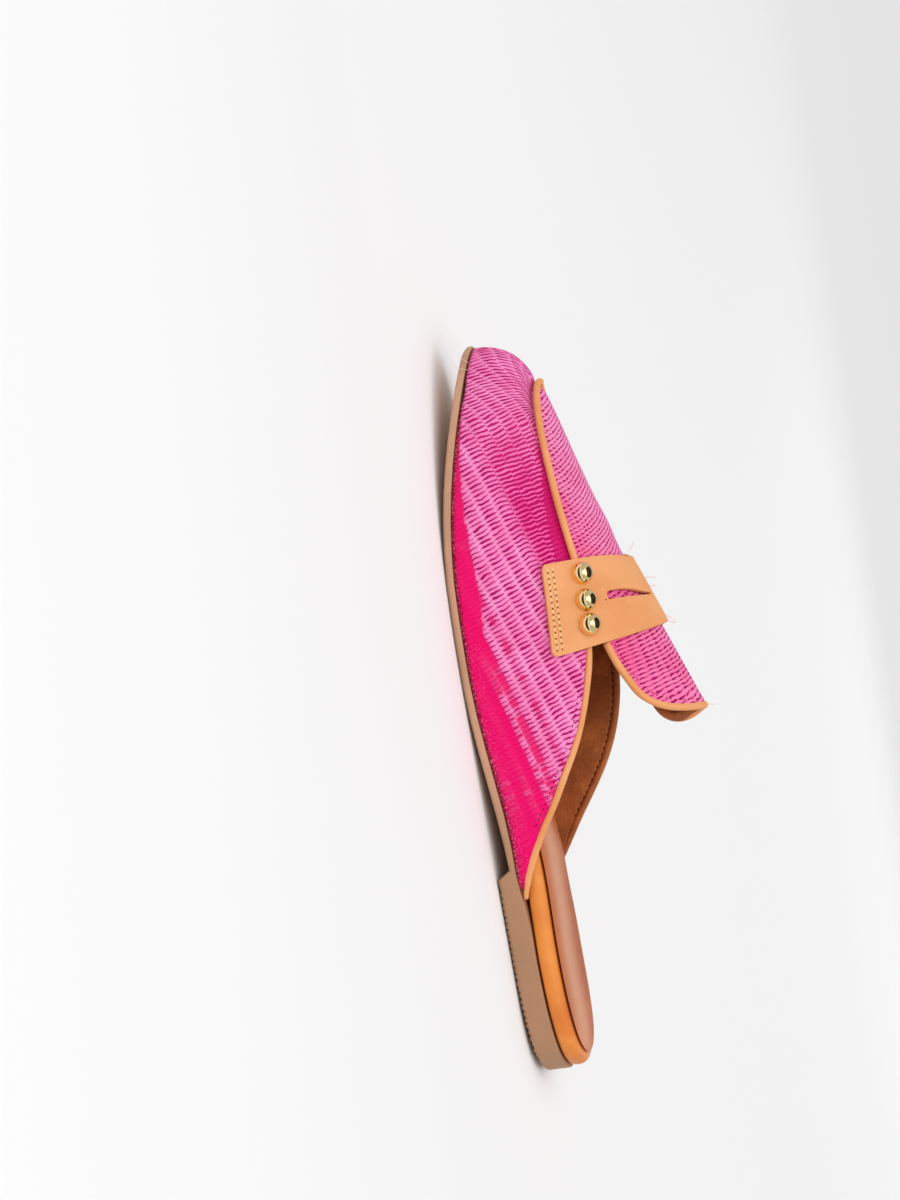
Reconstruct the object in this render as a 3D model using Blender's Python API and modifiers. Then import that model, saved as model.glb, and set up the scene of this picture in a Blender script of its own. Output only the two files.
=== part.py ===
"""A flat backless loafer for the left foot: a woven upper with a leather saddle strap, a padded
insole and a moulded rubber sole with a low heel.

The toe points along +Y, the outer (lateral) side of the foot is -X and +Z is up. Sizes in the
tables are millimetres; stations are measured from the back of the heel towards the toe.
Run with: blender --background --python part.py
"""

import math

import bmesh
import bpy
import mathutils
import numpy as np

MM = 0.001

# ---------------------------------------------------------------- driving sizes, mm
LENGTH = 265.0
GAP = 0.3  # between two pieces that touch

SOLE_THICKNESS = 3.8
SOLE_CHAMFER = 0.8
SOLE_LIP = 0.4  # bevel of its upper edge
HEEL_LIFT = 5.0  # the heel block raises the seat by this much
HEEL_BREAST = 73.0  # foot of the heel's front face
BREAST_LEAN = 3.2  # its top is this much further forward
TREAD_START = 148.0  # the forepart stands flat on the floor from here
TREAD_END = 178.0  # to here
TOE_SPRING = 11.0
HEEL_FLAT = 45.0  # behind this the heel curves up from the floor ...
HEEL_CURL = 2.0  # ... by this much at the back

WALL = 2.0  # woven cloth and leather lining together
FEATHER_INSET = 0.7  # the upper stands this far inside the edge of the sole
UPPER_BULGE = 1.5  # and swells this far out above it
SHELL_SPLIT = 159.0  # under the strap, where the shell divides into tongue and quarters
THROAT = 151.8  # tongue and quarters leave the strap's rear edge here
TONGUE_END = 122.5
TONGUE_CORNER = 10.5  # its corners are rounded over this length
QUARTER_END = 64.0

COLLAR_BEAD = 3.2  # width of the binding folded over the quarters' edge
TONGUE_BEAD = 3.6
PIPING = 2.8
GROOVE_DEPTH = 1.2  # the piping lies in a groove of the shell
GROOVE_HALF_WIDTH = 2.5
PLUG_STEP = 1.6  # inside the piping the plug stands this much higher

STRAP_CENTRE = 170.0
STRAP_SWEEP = 4.4  # its ends lie this much further back
STRAP_WIDTH = 29.0
STRAP_END = 0.625  # girth at which it ends
STRAP_THICKNESS = 1.6
STRAP_LIFT = 0.45
STRAP_CORNER = 2.5
SLOT_LENGTH = 38.0
SLOT_HEIGHT = 3.2  # at its two blunt ends
SLOT_WAIST = 0.9
SLOT_OFFSET = -1.5  # it lies a little behind the middle of the strap
STUD_DIAMETER = 7.6
STUD_HEIGHT = 3.9
STUD_PITCH = 9.3
STUD_FROM_END = 14.5

INSOLE_HEEL = 6.5  # thickness of the footbed at the heel
INSOLE_TOE = 4.0
INSOLE_INSET = 0.6
INSOLE_INSET_INSIDE = 3.8  # where the shell stands round it
INSOLE_STEP = 20.0  # length over which it draws in
SOCK_MARGIN = 4.0
SOCK_THICKNESS = 1.0
SOCK_CROWN = 0.8

# The outline of the sole: how far each side lies from the line through the middle of the heel.
OUTLINE = (
    # station, lateral, medial
    (2.0, 10.0, 11.0),
    (8.0, 19.0, 20.0),
    (20.0, 25.0, 26.0),
    (40.0, 28.0, 27.0),
    (62.0, 31.0, 25.0),
    (90.0, 34.5, 22.0),
    (118.0, 38.0, 23.0),
    (145.0, 41.0, 30.0),
    (168.0, 42.0, 36.5),
    (188.0, 40.0, 39.0),
    (206.0, 35.5, 38.0),
    (224.0, 27.5, 34.0),
    (241.0, 17.0, 29.5),
    (255.0, 6.5, 22.5),
    (262.5, -1.0, 16.5),
)
TIP_ACROSS = 8.5  # the toe tip lies this far to the medial side

# The ridge of the upper, along the top of the foot, and the shape of the section below it:
# rise is how steeply the side leaves the sole, reach how flat the top is.
RIDGE = (
    # station, across, height, rise, reach
    (62.0, 2.0, 95.0, 0.30, 0.30),
    (100.0, 2.5, 87.5, 0.32, 0.32),
    (123.0, 3.0, 79.5, 0.35, 0.36),
    (144.0, 3.5, 71.5, 0.38, 0.40),
    (160.0, 4.0, 65.3, 0.40, 0.44),
    (173.0, 4.5, 60.3, 0.42, 0.46),
    (185.0, 5.0, 55.6, 0.45, 0.48),
    (199.0, 5.5, 49.8, 0.48, 0.48),
    (216.0, 6.5, 44.3, 0.48, 0.45),
    (233.0, 7.5, 39.4, 0.48, 0.42),
    (243.0, 8.3, 36.3, 0.48, 0.40),
)
FAN = 22.0  # at the toe the ribs gather this far behind their feet
FAN_REACH = 42.0


# Edges on the upper, in girth: 0 on the ridge, 1 at the sole.
PIPING_LINE = (
    # station, girth
    (159.0, 0.475),
    (184.0, 0.440),
    (200.0, 0.420),
    (212.0, 0.403),
    (225.0, 0.387),
    (238.0, 0.368),
    (249.5, 0.322),
    (258.0, 0.255),
    (265.0, 0.165),
)
COLLAR_LINE = (
    # station, lateral, medial
    (60.0, 0.999, 0.999),
    (65.0, 0.994, 0.985),
    (71.0, 0.968, 0.945),
    (78.0, 0.930, 0.892),
    (87.0, 0.868, 0.822),
    (97.0, 0.797, 0.745),
    (107.0, 0.733, 0.672),
    (117.0, 0.668, 0.610),
    (127.0, 0.612, 0.560),
    (136.0, 0.566, 0.524),
    (145.0, 0.522, 0.496),
    (154.0, 0.486, 0.480),
)
TONGUE_LINE = (
    # station, girth
    (124.0, 0.395),
    (128.0, 0.405),
    (134.0, 0.422),
    (144.0, 0.448),
    (154.0, 0.458),
)

# ---------------------------------------------------------------- the last: curves and surface
def along(table, column, at):
    """A smooth curve through one column of a table, by the table's first column."""
    knots = np.array([row[0] for row in table])
    values = np.array([row[column] for row in table])
    slopes = np.gradient(values, knots)
    at = np.clip(at, knots[0], knots[-1])
    i = np.clip(np.searchsorted(knots, at) - 1, 0, len(knots) - 2)
    span = knots[i + 1] - knots[i]
    t = (at - knots[i]) / span
    return (
        (1 + 2 * t) * (1 - t) ** 2 * values[i]
        + t * (1 - t) ** 2 * span * slopes[i]
        + t * t * (3 - 2 * t) * values[i + 1]
        + t * t * (t - 1) * span * slopes[i + 1]
    )


def outline_curve():
    """The sole's edge as a dense closed loop: heel, lateral side, tip, medial side."""
    rows = np.array(OUTLINE)
    lateral = np.column_stack([-rows[:, 1], rows[:, 0]])
    medial = np.column_stack([rows[:, 2], rows[:, 0]])
    knots = np.vstack([[[0, 0]], lateral, [[TIP_ACROSS, LENGTH]], medial[::-1]])
    ring = np.vstack([knots[-3:], knots, knots[:4]])
    lengths = np.concatenate([[0], np.cumsum(np.linalg.norm(np.diff(ring, axis=0), axis=1))])
    dense = np.linspace(lengths[3], lengths[3 + len(knots)], 1200, endpoint=False)
    sides = [along(np.column_stack([lengths, ring[:, axis]]), 1, dense) for axis in (0, 1)]
    return np.column_stack(sides)


EDGE = outline_curve()
TIP_INDEX = int(np.argmax(EDGE[:, 1]))
TIP_STATION = float(EDGE[TIP_INDEX, 1])


def edge_normals():
    """The outward direction, seen from above, at each point of the sole's edge."""
    step = np.roll(EDGE, -1, axis=0) - np.roll(EDGE, 1, axis=0)
    step /= np.linalg.norm(step, axis=1)[:, None]
    return np.column_stack([-step[:, 1], step[:, 0]])


EDGE_NORMALS = edge_normals()


def edge_point(side, station, inset=0.0):
    """A point of the sole's edge, moved inwards, and the outward direction there."""
    if side < 0:
        branch = np.arange(0, TIP_INDEX + 1)
    else:
        branch = np.concatenate([[0], np.arange(len(EDGE) - 1, TIP_INDEX - 1, -1)])
    stations = np.maximum.accumulate(EDGE[branch, 1])
    place = np.interp(station, stations, np.arange(len(branch)))
    low = np.floor(place).astype(int)
    high = np.minimum(low + 1, len(branch) - 1)
    part = (place - low)[..., None]
    point = EDGE[branch[low]] * (1 - part) + EDGE[branch[high]] * part
    normal = EDGE_NORMALS[branch[low]] * (1 - part) + EDGE_NORMALS[branch[high]] * part
    normal = normal / np.linalg.norm(normal, axis=-1, keepdims=True)
    return point - normal * inset, normal


def ease(t):
    t = np.clip(t, 0, 1)
    return t * t * (3 - 2 * t)


def floor_line(station):
    """The lowest line of the sole: flat under heel and tread, curling up at the back and the toe."""
    station = np.asarray(station, float)
    curl = HEEL_CURL * (np.maximum(HEEL_FLAT - station, 0) / HEEL_FLAT) ** 1.6
    spring = TOE_SPRING * (np.maximum(station - TREAD_END, 0) / (LENGTH - TREAD_END)) ** 1.6
    return curl + spring


def seat_height(station):
    """The underside of the sole without its heel block: seat, arch, tread and toe."""
    arch = HEEL_LIFT * (1 - ease((station - HEEL_BREAST) / (TREAD_START - HEEL_BREAST)))
    return floor_line(station) + arch


def sole_top(station):
    return seat_height(station) + SOLE_THICKNESS


def ridge_point(station):
    """The ridge behind a foot of a rib, and the ridge's slope there."""
    station = np.asarray(station, float)
    at = station - FAN * np.exp(-(TIP_STATION - station) / FAN_REACH)
    across, height = along(RIDGE, 1, at), along(RIDGE, 2, at)
    slope = (along(RIDGE, 2, at + 0.5) - along(RIDGE, 2, at - 0.5)) / 1.0
    return np.stack([across, at, height], axis=-1), slope, at


def upper_point(station, girth):
    """The outer face of the upper. Girth runs from -1, lateral edge, over 0, ridge, to 1, medial."""
    station, girth = np.broadcast_arrays(np.asarray(station, float), np.asarray(girth, float))
    side = np.where(girth < 0, -1, 1)
    lateral, lateral_normal = edge_point(-1, station, FEATHER_INSET)
    medial, medial_normal = edge_point(1, station, FEATHER_INSET)
    is_lateral = (side < 0)[..., None]
    foot_xy = np.where(is_lateral, lateral, medial)
    normal = np.where(is_lateral, lateral_normal, medial_normal)
    foot = np.concatenate([foot_xy, (sole_top(foot_xy[..., 1]) + GAP)[..., None]], axis=-1)
    ridge, slope, at = ridge_point(station)
    rise, reach = along(RIDGE, 3, at)[..., None], along(RIDGE, 4, at)[..., None]
    up = np.array([0.0, 0.0, 1.0])
    height = (ridge - foot)[..., 2:]
    outward = np.concatenate([normal, np.zeros_like(height)], axis=-1)
    first = foot + UPPER_BULGE * outward + rise * height * up
    level = (foot - ridge) * np.array([1.0, 1.0, 0.0])
    second = ridge + reach * (level + up * slope[..., None] * level[..., 1:2])
    t = (1 - np.abs(girth))[..., None]
    return (
        (1 - t) ** 3 * foot + 3 * t * (1 - t) ** 2 * first
        + 3 * t * t * (1 - t) * second + t**3 * ridge
    )


# ---------------------------------------------------------------- moving about on the upper
def girth_step(girth):
    return np.where(girth > 0.5, -1e-3, 1e-3)


def tangents(station, girth):
    """How a point of the upper moves with station and with girth."""
    back = np.where(np.asarray(station) > TIP_STATION - 1, -0.05, 0.05)
    here = upper_point(station, girth)
    step = girth_step(girth)
    by_station = (upper_point(station + back, girth) - here) / back[..., None]
    by_girth = (upper_point(station, girth + step) - here) / step[..., None]
    return by_station, by_girth


def upper_normal(station, girth):
    by_station, by_girth = tangents(station, girth)
    normal = np.cross(by_girth, by_station)
    return normal / np.linalg.norm(normal, axis=-1, keepdims=True)


def slide(station, girth, direction, distance, steps=4):
    """Moves points over the upper by a distance, sideways of the direction of their line."""
    station, girth = np.array(station, float), np.array(girth, float)
    for _ in range(steps):
        by_station, by_girth = tangents(station, girth)
        normal = np.cross(by_girth, by_station)
        way = np.cross(normal, direction)
        way *= (distance / steps / np.linalg.norm(way, axis=-1))[..., None]
        a, b = (by_station**2).sum(-1), (by_station * by_girth).sum(-1)
        c = (by_girth**2).sum(-1)
        u, v = (by_station * way).sum(-1), (by_girth * way).sum(-1)
        station = station + (c * u - b * v) / (a * c - b * b)
        girth = girth + (a * v - b * u) / (a * c - b * b)
    return station, girth


def line_direction(station, girth):
    return np.gradient(upper_point(station, girth), axis=0)


def arc_length(points):
    return np.concatenate([[0], np.cumsum(np.linalg.norm(np.diff(points, axis=0), axis=1))])


def respaced(stations, girths, count):
    """The same line on the upper with its points evenly spaced."""
    length = arc_length(upper_point(stations, girths))
    even = np.linspace(0, length[-1], count)
    return np.interp(even, length, stations), np.interp(even, length, girths)


def collar_line(side, count):
    stations = np.linspace(THROAT, QUARTER_END, 120)
    column = 1 if side < 0 else 2
    return respaced(stations, side * along(COLLAR_LINE, column, stations), count)


def tongue_top(share):
    """Station of the tongue's top edge, by the share of the way from its middle to its side."""
    return TONGUE_END + TONGUE_CORNER * (1 - np.sqrt(1 - np.clip(np.abs(share), 0, 1) ** 5))


def tongue_line(count):
    """Round the tongue's edge, from its lateral root over the top to its medial root."""
    sides = np.linspace(THROAT, TONGUE_END + TONGUE_CORNER, 30)[:-1]
    share = np.sin(np.linspace(-np.pi / 2, np.pi / 2, 61))
    stations = np.concatenate([sides, tongue_top(share), sides[::-1]])
    shares = np.concatenate([-np.ones(len(sides)), share, np.ones(len(sides))])
    return respaced(stations, shares * along(TONGUE_LINE, 1, stations), count)


# ---------------------------------------------------------------- making objects
ORIGIN = np.array([(EDGE[:, 0].min() + EDGE[:, 0].max()) / 2, LENGTH / 2, 0.0])
COLLECTION = "loafer_mule"


def clear_scene():
    for obj in list(bpy.data.objects):
        bpy.data.objects.remove(obj)


def collection_of(name):
    made = bpy.data.collections.new(name)
    bpy.context.scene.collection.children.link(made)
    return made


def material(name, color, roughness, metallic=0.0):
    made = bpy.data.materials.new(name)
    made.use_nodes = True
    shader = made.node_tree.nodes["Principled BSDF"]
    shader.inputs["Base Color"].default_value = (*color, 1.0)
    shader.inputs["Roughness"].default_value = roughness
    shader.inputs["Metallic"].default_value = metallic
    return made


def metres(points):
    return (np.asarray(points) - ORIGIN) * MM


def add_object(name, data, finish, parts, sharp_degrees=35):
    data.materials.append(finish)
    made = bpy.data.objects.new(name, data)
    parts.objects.link(made)
    if isinstance(data, bpy.types.Mesh):
        data.shade_smooth()
        data.set_sharp_from_angle(angle=math.radians(sharp_degrees))
    return made


def mesh_from(name, points, faces):
    """A mesh from points in millimetres, with its faces turned outwards."""
    mesh = bmesh.new()
    corners = [mesh.verts.new(point) for point in metres(points)]
    for face in faces:
        mesh.faces.new([corners[i] for i in face])
    bmesh.ops.recalc_face_normals(mesh, faces=mesh.faces)
    data = bpy.data.meshes.new(name)
    mesh.to_mesh(data)
    mesh.free()
    return data


def tube(name, points, width, finish, parts):
    """A round piping or binding through points in millimetres."""
    curve = bpy.data.curves.new(name, "CURVE")
    curve.dimensions = "3D"
    curve.bevel_depth = width / 2 * MM
    curve.bevel_resolution = 2
    curve.use_fill_caps = True
    spline = curve.splines.new("POLY")
    spline.points.add(len(points) - 1)
    for control, point in zip(spline.points, metres(points)):
        control.co = (*point, 1.0)
    return add_object(name, curve, finish, parts)


# ---------------------------------------------------------------- sole, insole and sock
def loop_stations():
    """Stations round the sole: close together at the round ends, with the heel breast marked."""
    ends = 0.5 - 0.5 * np.cos(np.linspace(0, np.pi, 35))
    even = TIP_STATION * ends[1:-1]
    breast = np.array([HEEL_BREAST, HEEL_BREAST + BREAST_LEAN])
    far_enough = np.abs(even[:, None] - breast).min(axis=1) > 2.0
    return np.sort(np.concatenate([even[far_enough], breast]))


def edge_loop(stations, inset):
    """Points round the sole's edge: back, lateral side, tip, medial side."""
    inset = np.broadcast_to(inset, stations.shape)[:, None]
    lateral = edge_point(-1, stations, inset)[0]
    medial = edge_point(1, stations, inset)[0]
    back = [[0.0, inset[0, 0]]]
    tip = [[TIP_ACROSS, TIP_STATION - inset[-1, 0]]]
    return np.vstack([back, lateral, tip, medial[::-1]])


def drawn_in(loop, margin):
    """A loop moved towards the middle of the foot, which doesn't fold at the narrow toe."""
    count = (len(loop) - 2) // 2
    middle = loop.copy()
    lateral, medial = loop[1 : count + 1], loop[count + 2 :][::-1]
    centre = (lateral[:, 0] + medial[:, 0]) / 2
    middle[1 : count + 1, 0] = centre
    middle[count + 2 :, 0] = centre[::-1]
    middle[:, 1] = LENGTH / 2
    half_sizes = np.array([27.0, LENGTH / 2])
    return middle + (loop - middle) * (1 - margin / half_sizes)


def stacked(name, rings):
    """A closed body through rings of matching points, capped across at both ends."""
    count = len(rings[0])
    half = (count - 2) // 2
    points = np.vstack(rings)
    faces = []
    for level in range(len(rings) - 1):
        low, high = level * count, (level + 1) * count
        for i in range(count):
            j = (i + 1) % count
            faces.append((low + i, low + j, high + j, high + i))
    for start in (0, (len(rings) - 1) * count):
        faces.append((start, start + 1, start + count - 1))
        for i in range(1, half):
            faces.append((start + i, start + i + 1, start + count - 1 - i, start + count - i))
        faces.append((start + half, start + half + 1, start + half + 2))
    return mesh_from(name, points, faces)


def ring(loop, height_at):
    """A loop at the heights that its own stations ask for."""
    return np.column_stack([loop, height_at(loop[:, 1])])


def sole_bottom(station):
    """The underside with the heel block, whose front face leans from breast to waist."""
    under_heel = station <= HEEL_BREAST + 0.5
    return np.where(under_heel, floor_line(station), seat_height(station))


def build_outsole(parts, rubber):
    stations = loop_stations()
    edge = edge_loop(stations, 0.0)
    under = edge_loop(stations, SOLE_CHAMFER)
    lip = edge_loop(stations, SOLE_LIP)
    rings = [
        ring(under, sole_bottom),
        ring(edge, lambda s: sole_bottom(s) + SOLE_CHAMFER),
        ring(edge, lambda s: sole_top(s) - SOLE_LIP),
        ring(lip, sole_top),
    ]
    return add_object("outsole", stacked("outsole", rings), rubber, parts, 30)


def insole_edge(stations):
    """The footbed's edge, full at the heel and stepping in where the shell stands round it."""
    inside = ease((stations - QUARTER_END + INSOLE_STEP) / INSOLE_STEP)
    return edge_loop(stations, INSOLE_INSET + (INSOLE_INSET_INSIDE - INSOLE_INSET) * inside)


def insole_height(station, share):
    """Height in the footbed: share 0 on the sole, 1 on top."""
    thinning = ease((station - HEEL_BREAST) / (TREAD_START - HEEL_BREAST))
    thickness = INSOLE_HEEL + (INSOLE_TOE - INSOLE_HEEL) * thinning
    return sole_top(station) + GAP + share * thickness


def build_insole(parts, leather):
    edge = insole_edge(loop_stations())
    section = (
        # margin, share of the thickness
        (1.4, 0.0),
        (0.4, 0.08),
        (0.0, 0.30),
        (0.0, 0.55),
        (0.6, 0.80),
        (1.8, 0.95),
        (3.2, 1.0),
    )
    rings = [ring(drawn_in(edge, margin), lambda s, share=share: insole_height(s, share))
             for margin, share in section]
    return add_object("insole", stacked("insole", rings), leather, parts, 50)


def build_sock(parts, leather):
    edge = drawn_in(insole_edge(loop_stations()), SOCK_MARGIN)
    section = (
        # margin, height over the footbed
        (0.0, 0.0),
        (0.0, 0.6 * SOCK_THICKNESS),
        (1.0, SOCK_THICKNESS),
        (5.0, SOCK_THICKNESS + 0.7 * SOCK_CROWN),
        (10.0, SOCK_THICKNESS + SOCK_CROWN),
    )
    rings = [ring(drawn_in(edge, margin), lambda s, up=up: insole_height(s, 1) + GAP + up)
             for margin, up in section]
    return add_object("insole_sock", stacked("insole_sock", rings), leather, parts, 50)


# ---------------------------------------------------------------- the upper
SIDE_ROWS = 8  # rows of points from the seam line to the sole
TOP_ROWS = 7  # and from the seam line to the ridge
TOE_COLUMNS = 26
TOE_CROWDING = 0.25
QUARTER_COLUMNS = 18
TONGUE_COLUMNS = 9
LOWEST_EDGE = 0.985  # girth at which the quarters' cut edge runs out on the sole


def rows_from(seam, to, width, count):
    """Girths from a seam to a far edge: the seam, the groove's brim, then evenly spaced."""
    brim = seam + np.sign(to - seam) * min(width, abs(to - seam) / count)
    return np.concatenate([[seam], np.linspace(brim, to, count - 1)])


def shell_girths(station):
    """Signed girths of the undivided shell's rows: lateral sole, seam, ridge, seam, medial sole."""
    seam = along(PIPING_LINE, 1, station)
    width = GROOVE_HALF_WIDTH / np.linalg.norm(tangents(station, seam)[1])
    side = rows_from(seam, 1.0, width, SIDE_ROWS)
    top = rows_from(seam, 0.0, width, TOP_ROWS)
    return np.concatenate([-side[::-1], -top[1:], top[-2::-1], side[1:]])


LATERAL_SEAM = SIDE_ROWS - 1
RIDGE_ROW = LATERAL_SEAM + TOP_ROWS - 1
MEDIAL_SEAM = RIDGE_ROW + TOP_ROWS - 1


def toe_stations():
    """Stations of the undivided shell, from the toe tip back, crowded round the tip."""
    t = np.linspace(0, 1, TOE_COLUMNS)
    share = t * t * (1 + TOE_CROWDING) / (t + TOE_CROWDING)
    return TIP_STATION - (TIP_STATION - SHELL_SPLIT) * share


def collar_cut(side):
    """The quarters' cut edge: the finished edge moved in to make room for its binding."""
    stations, girths = collar_line(side, 60)
    inwards = np.full(len(stations), side * (COLLAR_BEAD + GAP))
    stations, girths = slide(stations, girths, line_direction(stations, girths), inwards)
    above_sole = np.abs(girths) < LOWEST_EDGE
    return respaced(stations[above_sole], girths[above_sole], QUARTER_COLUMNS + 1)


def tongue_cut():
    """The tongue's cut edge, from its lateral root over the top to its medial root."""
    stations, girths = tongue_line(90)
    inwards = np.full(len(stations), TONGUE_BEAD + GAP)
    stations, girths = slide(stations, girths, line_direction(stations, girths), inwards)
    return respaced(stations, girths, 2 * TONGUE_COLUMNS + 2 * TOP_ROWS - 1)


def tongue_grid():
    """Station and girth of the tongue's rows: a patch stretched between its four edges."""
    root = shell_girths(SHELL_SPLIT)[LATERAL_SEAM : MEDIAL_SEAM + 1]
    near = np.column_stack([np.full(len(root), SHELL_SPLIT), root])
    cut = np.column_stack(tongue_cut())
    lateral = np.vstack([near[:1], cut[: TONGUE_COLUMNS + 1]])
    medial = np.vstack([near[-1:], cut[::-1][: TONGUE_COLUMNS + 1]])
    far = cut[TONGUE_COLUMNS : len(cut) - TONGUE_COLUMNS]
    v = np.linspace(0, 1, len(lateral))[:, None, None]
    u = np.linspace(0, 1, len(near))[None, :, None]
    corners = (
        (1 - v) * ((1 - u) * near[0] + u * near[-1]) + v * ((1 - u) * far[0] + u * far[-1])
    )
    return (1 - v) * near + v * far + (1 - u) * lateral[:, None] + u * medial[:, None] - corners


def groove_depth(station):
    return GROOVE_DEPTH * ease((station - STRAP_CENTRE) / 10)


def plug_step(station):
    """The plug's height over the vamp, which starts in front of the strap."""
    return PLUG_STEP * ease((station - STRAP_CENTRE - STRAP_WIDTH / 2 - 2) / 12)


def plug_height(station, girths):
    """How far the points of a rib stand up inside the piping: all of the step past its groove."""
    seam = along(PIPING_LINE, 1, station)
    inside = (seam - np.abs(girths)) * np.linalg.norm(tangents(station, seam)[1])
    return plug_step(station) * ease(inside / (2 * GROOVE_HALF_WIDTH))


def shell_surface():
    """Points and faces of the upper's outer face: toe, both quarters and the tongue."""
    points, faces = [], []

    def add(stations, girths, sunk=0.0):
        place = upper_point(stations, girths)
        place = place - upper_normal(stations, girths) * np.asarray(sunk)[..., None]
        points.extend(place.reshape(-1, 3))
        return list(range(len(points) - len(place.reshape(-1, 3)), len(points)))

    def join(first, second):
        for a, b, c, d in zip(first, first[1:], second[1:], second):
            corners = list(dict.fromkeys((a, b, c, d)))
            faces.append(corners)

    rows = []
    for station in toe_stations():
        girths = shell_girths(station)
        sunk = -plug_height(station, girths)
        sunk[[LATERAL_SEAM, MEDIAL_SEAM]] = groove_depth(station)
        if not rows:  # both sides share the rib at the tip
            half = add(np.full(RIDGE_ROW + 1, station), -girths[RIDGE_ROW:][::-1],
                       sunk[RIDGE_ROW:][::-1])
            rows.append(half + half[-2::-1])
        else:
            rows.append(add(np.full(len(girths), station), girths, sunk))
    for first, second in zip(rows, rows[1:]):
        join(first, second)

    for side, root in ((-1, rows[-1][: LATERAL_SEAM + 1]), (1, rows[-1][MEDIAL_SEAM:])):
        before = root
        for station, edge in zip(*collar_cut(side)):
            girths = rows_from(edge, side, 0.03, SIDE_ROWS)
            column = add(np.full(len(girths), station), girths)
            column = column[::-1] if side < 0 else column
            join(before, column)
            before = column

    before = rows[-1][LATERAL_SEAM : MEDIAL_SEAM + 1]
    for row in tongue_grid()[1:]:
        column = add(row[:, 0], row[:, 1])
        join(before, column)
        before = column
    return np.array(points), faces


def build_upper(parts, cloth):
    points, faces = shell_surface()
    data = mesh_from("upper", points, faces)
    widest = max(data.polygons, key=lambda face: face.center.x)
    if widest.normal.x < 0:
        data.flip_normals()
    upper = add_object("upper", data, cloth, parts, 60)
    wall = upper.modifiers.new("wall", "SOLIDIFY")
    wall.thickness = WALL * MM
    wall.offset = -1.0
    return upper


def build_bindings(parts, leather):
    """Leather folded over the edges of quarters and tongue, and the piping round the plug."""
    for side, name in ((-1, "collar_binding_lateral"), (1, "collar_binding_medial")):
        stations, girths = collar_line(side, 34)
        inwards = np.full(len(stations), side * COLLAR_BEAD / 2)
        moved = slide(stations, girths, line_direction(stations, girths), inwards)
        path = upper_point(*moved) - upper_normal(*moved) * WALL / 2
        lowest = sole_top(path[:, 1]) + GAP + COLLAR_BEAD / 2
        path[:, 2] = np.maximum(path[:, 2], lowest)
        tube(name, path, COLLAR_BEAD, leather, parts)

    stations, girths = tongue_line(48)
    inwards = np.full(len(stations), TONGUE_BEAD / 2)
    moved = slide(stations, girths, line_direction(stations, girths), inwards)
    path = upper_point(*moved) - upper_normal(*moved) * WALL / 2
    tube("tongue_binding", path, TONGUE_BEAD, leather, parts)

    front_of_strap = STRAP_CENTRE + STRAP_WIDTH / 2 + 0.5
    share = np.linspace(0, 1, 26)
    stations = TIP_STATION - (TIP_STATION - front_of_strap) * share * share
    girths = along(PIPING_LINE, 1, stations)
    rise = GROOVE_DEPTH + plug_step(stations[:, None]) / 2
    slant = np.hypot(1, rise / GROOVE_HALF_WIDTH)
    lift = (PIPING / 2 + 2 * GAP) * slant - GROOVE_DEPTH
    halves = [upper_point(stations, g) + upper_normal(stations, g) * lift for g in (-girths, girths)]
    path = np.vstack([halves[0][::-1], halves[1][1:]])
    tube("plug_piping", path, PIPING, leather, parts)


# ---------------------------------------------------------------- saddle strap and studs
def strap_centre_line():
    """Stations, girths and lengths along the middle of the strap; 0 is on the ridge."""
    girths = np.linspace(-STRAP_END, STRAP_END, 161)
    stations = STRAP_CENTRE - STRAP_SWEEP * (np.abs(girths) / STRAP_END) ** 1.5
    length = arc_length(upper_point(stations, girths))
    return stations, girths, length - np.interp(0.0, girths, length)


def wrapped(flat):
    """Carries points of the flat strap (along, across, up) onto the upper."""
    stations, girths, lengths = strap_centre_line()
    directions = line_direction(stations, girths)
    station = np.interp(flat[:, 0], lengths, stations)
    girth = np.interp(flat[:, 0], lengths, girths)
    direction = np.column_stack([np.interp(flat[:, 0], lengths, directions[:, i]) for i in range(3)])
    station, girth = slide(station, girth, direction, flat[:, 1])
    return upper_point(station, girth) + upper_normal(station, girth) * flat[:, 2:3]


def strap_outline(length_a, length_b):
    """The flat strap: a band with small round corners."""
    half = STRAP_WIDTH / 2
    corners = []
    for x, y, start in ((length_b, half, 0), (length_a, half, 90), (length_a, -half, 180),
                        (length_b, -half, 270)):
        cx = x - math.copysign(STRAP_CORNER, x)
        cy = y - math.copysign(STRAP_CORNER, y)
        for step in range(4):
            turn = math.radians(start + 30 * step)
            corners.append((cx + STRAP_CORNER * math.cos(turn), cy + STRAP_CORNER * math.sin(turn)))
    return corners


def slot_outline():
    """The penny slot: a slit that widens to a drop at both ends, straight along its rear edge."""
    half = SLOT_LENGTH / 2
    rear, front = [], []
    for x in np.linspace(-half, half, 21):
        share = abs(x) / half
        height = SLOT_WAIST + (SLOT_HEIGHT - SLOT_WAIST) * ease((share - 0.15) / 0.6)
        height *= math.sqrt(max(0.0, 1 - max(0.0, (share - 0.85) / 0.15) ** 2)) if share < 1 else 0
        rear.append((x, SLOT_OFFSET))
        front.append((x, SLOT_OFFSET + height))
    return rear + front[-2:0:-1]


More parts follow.
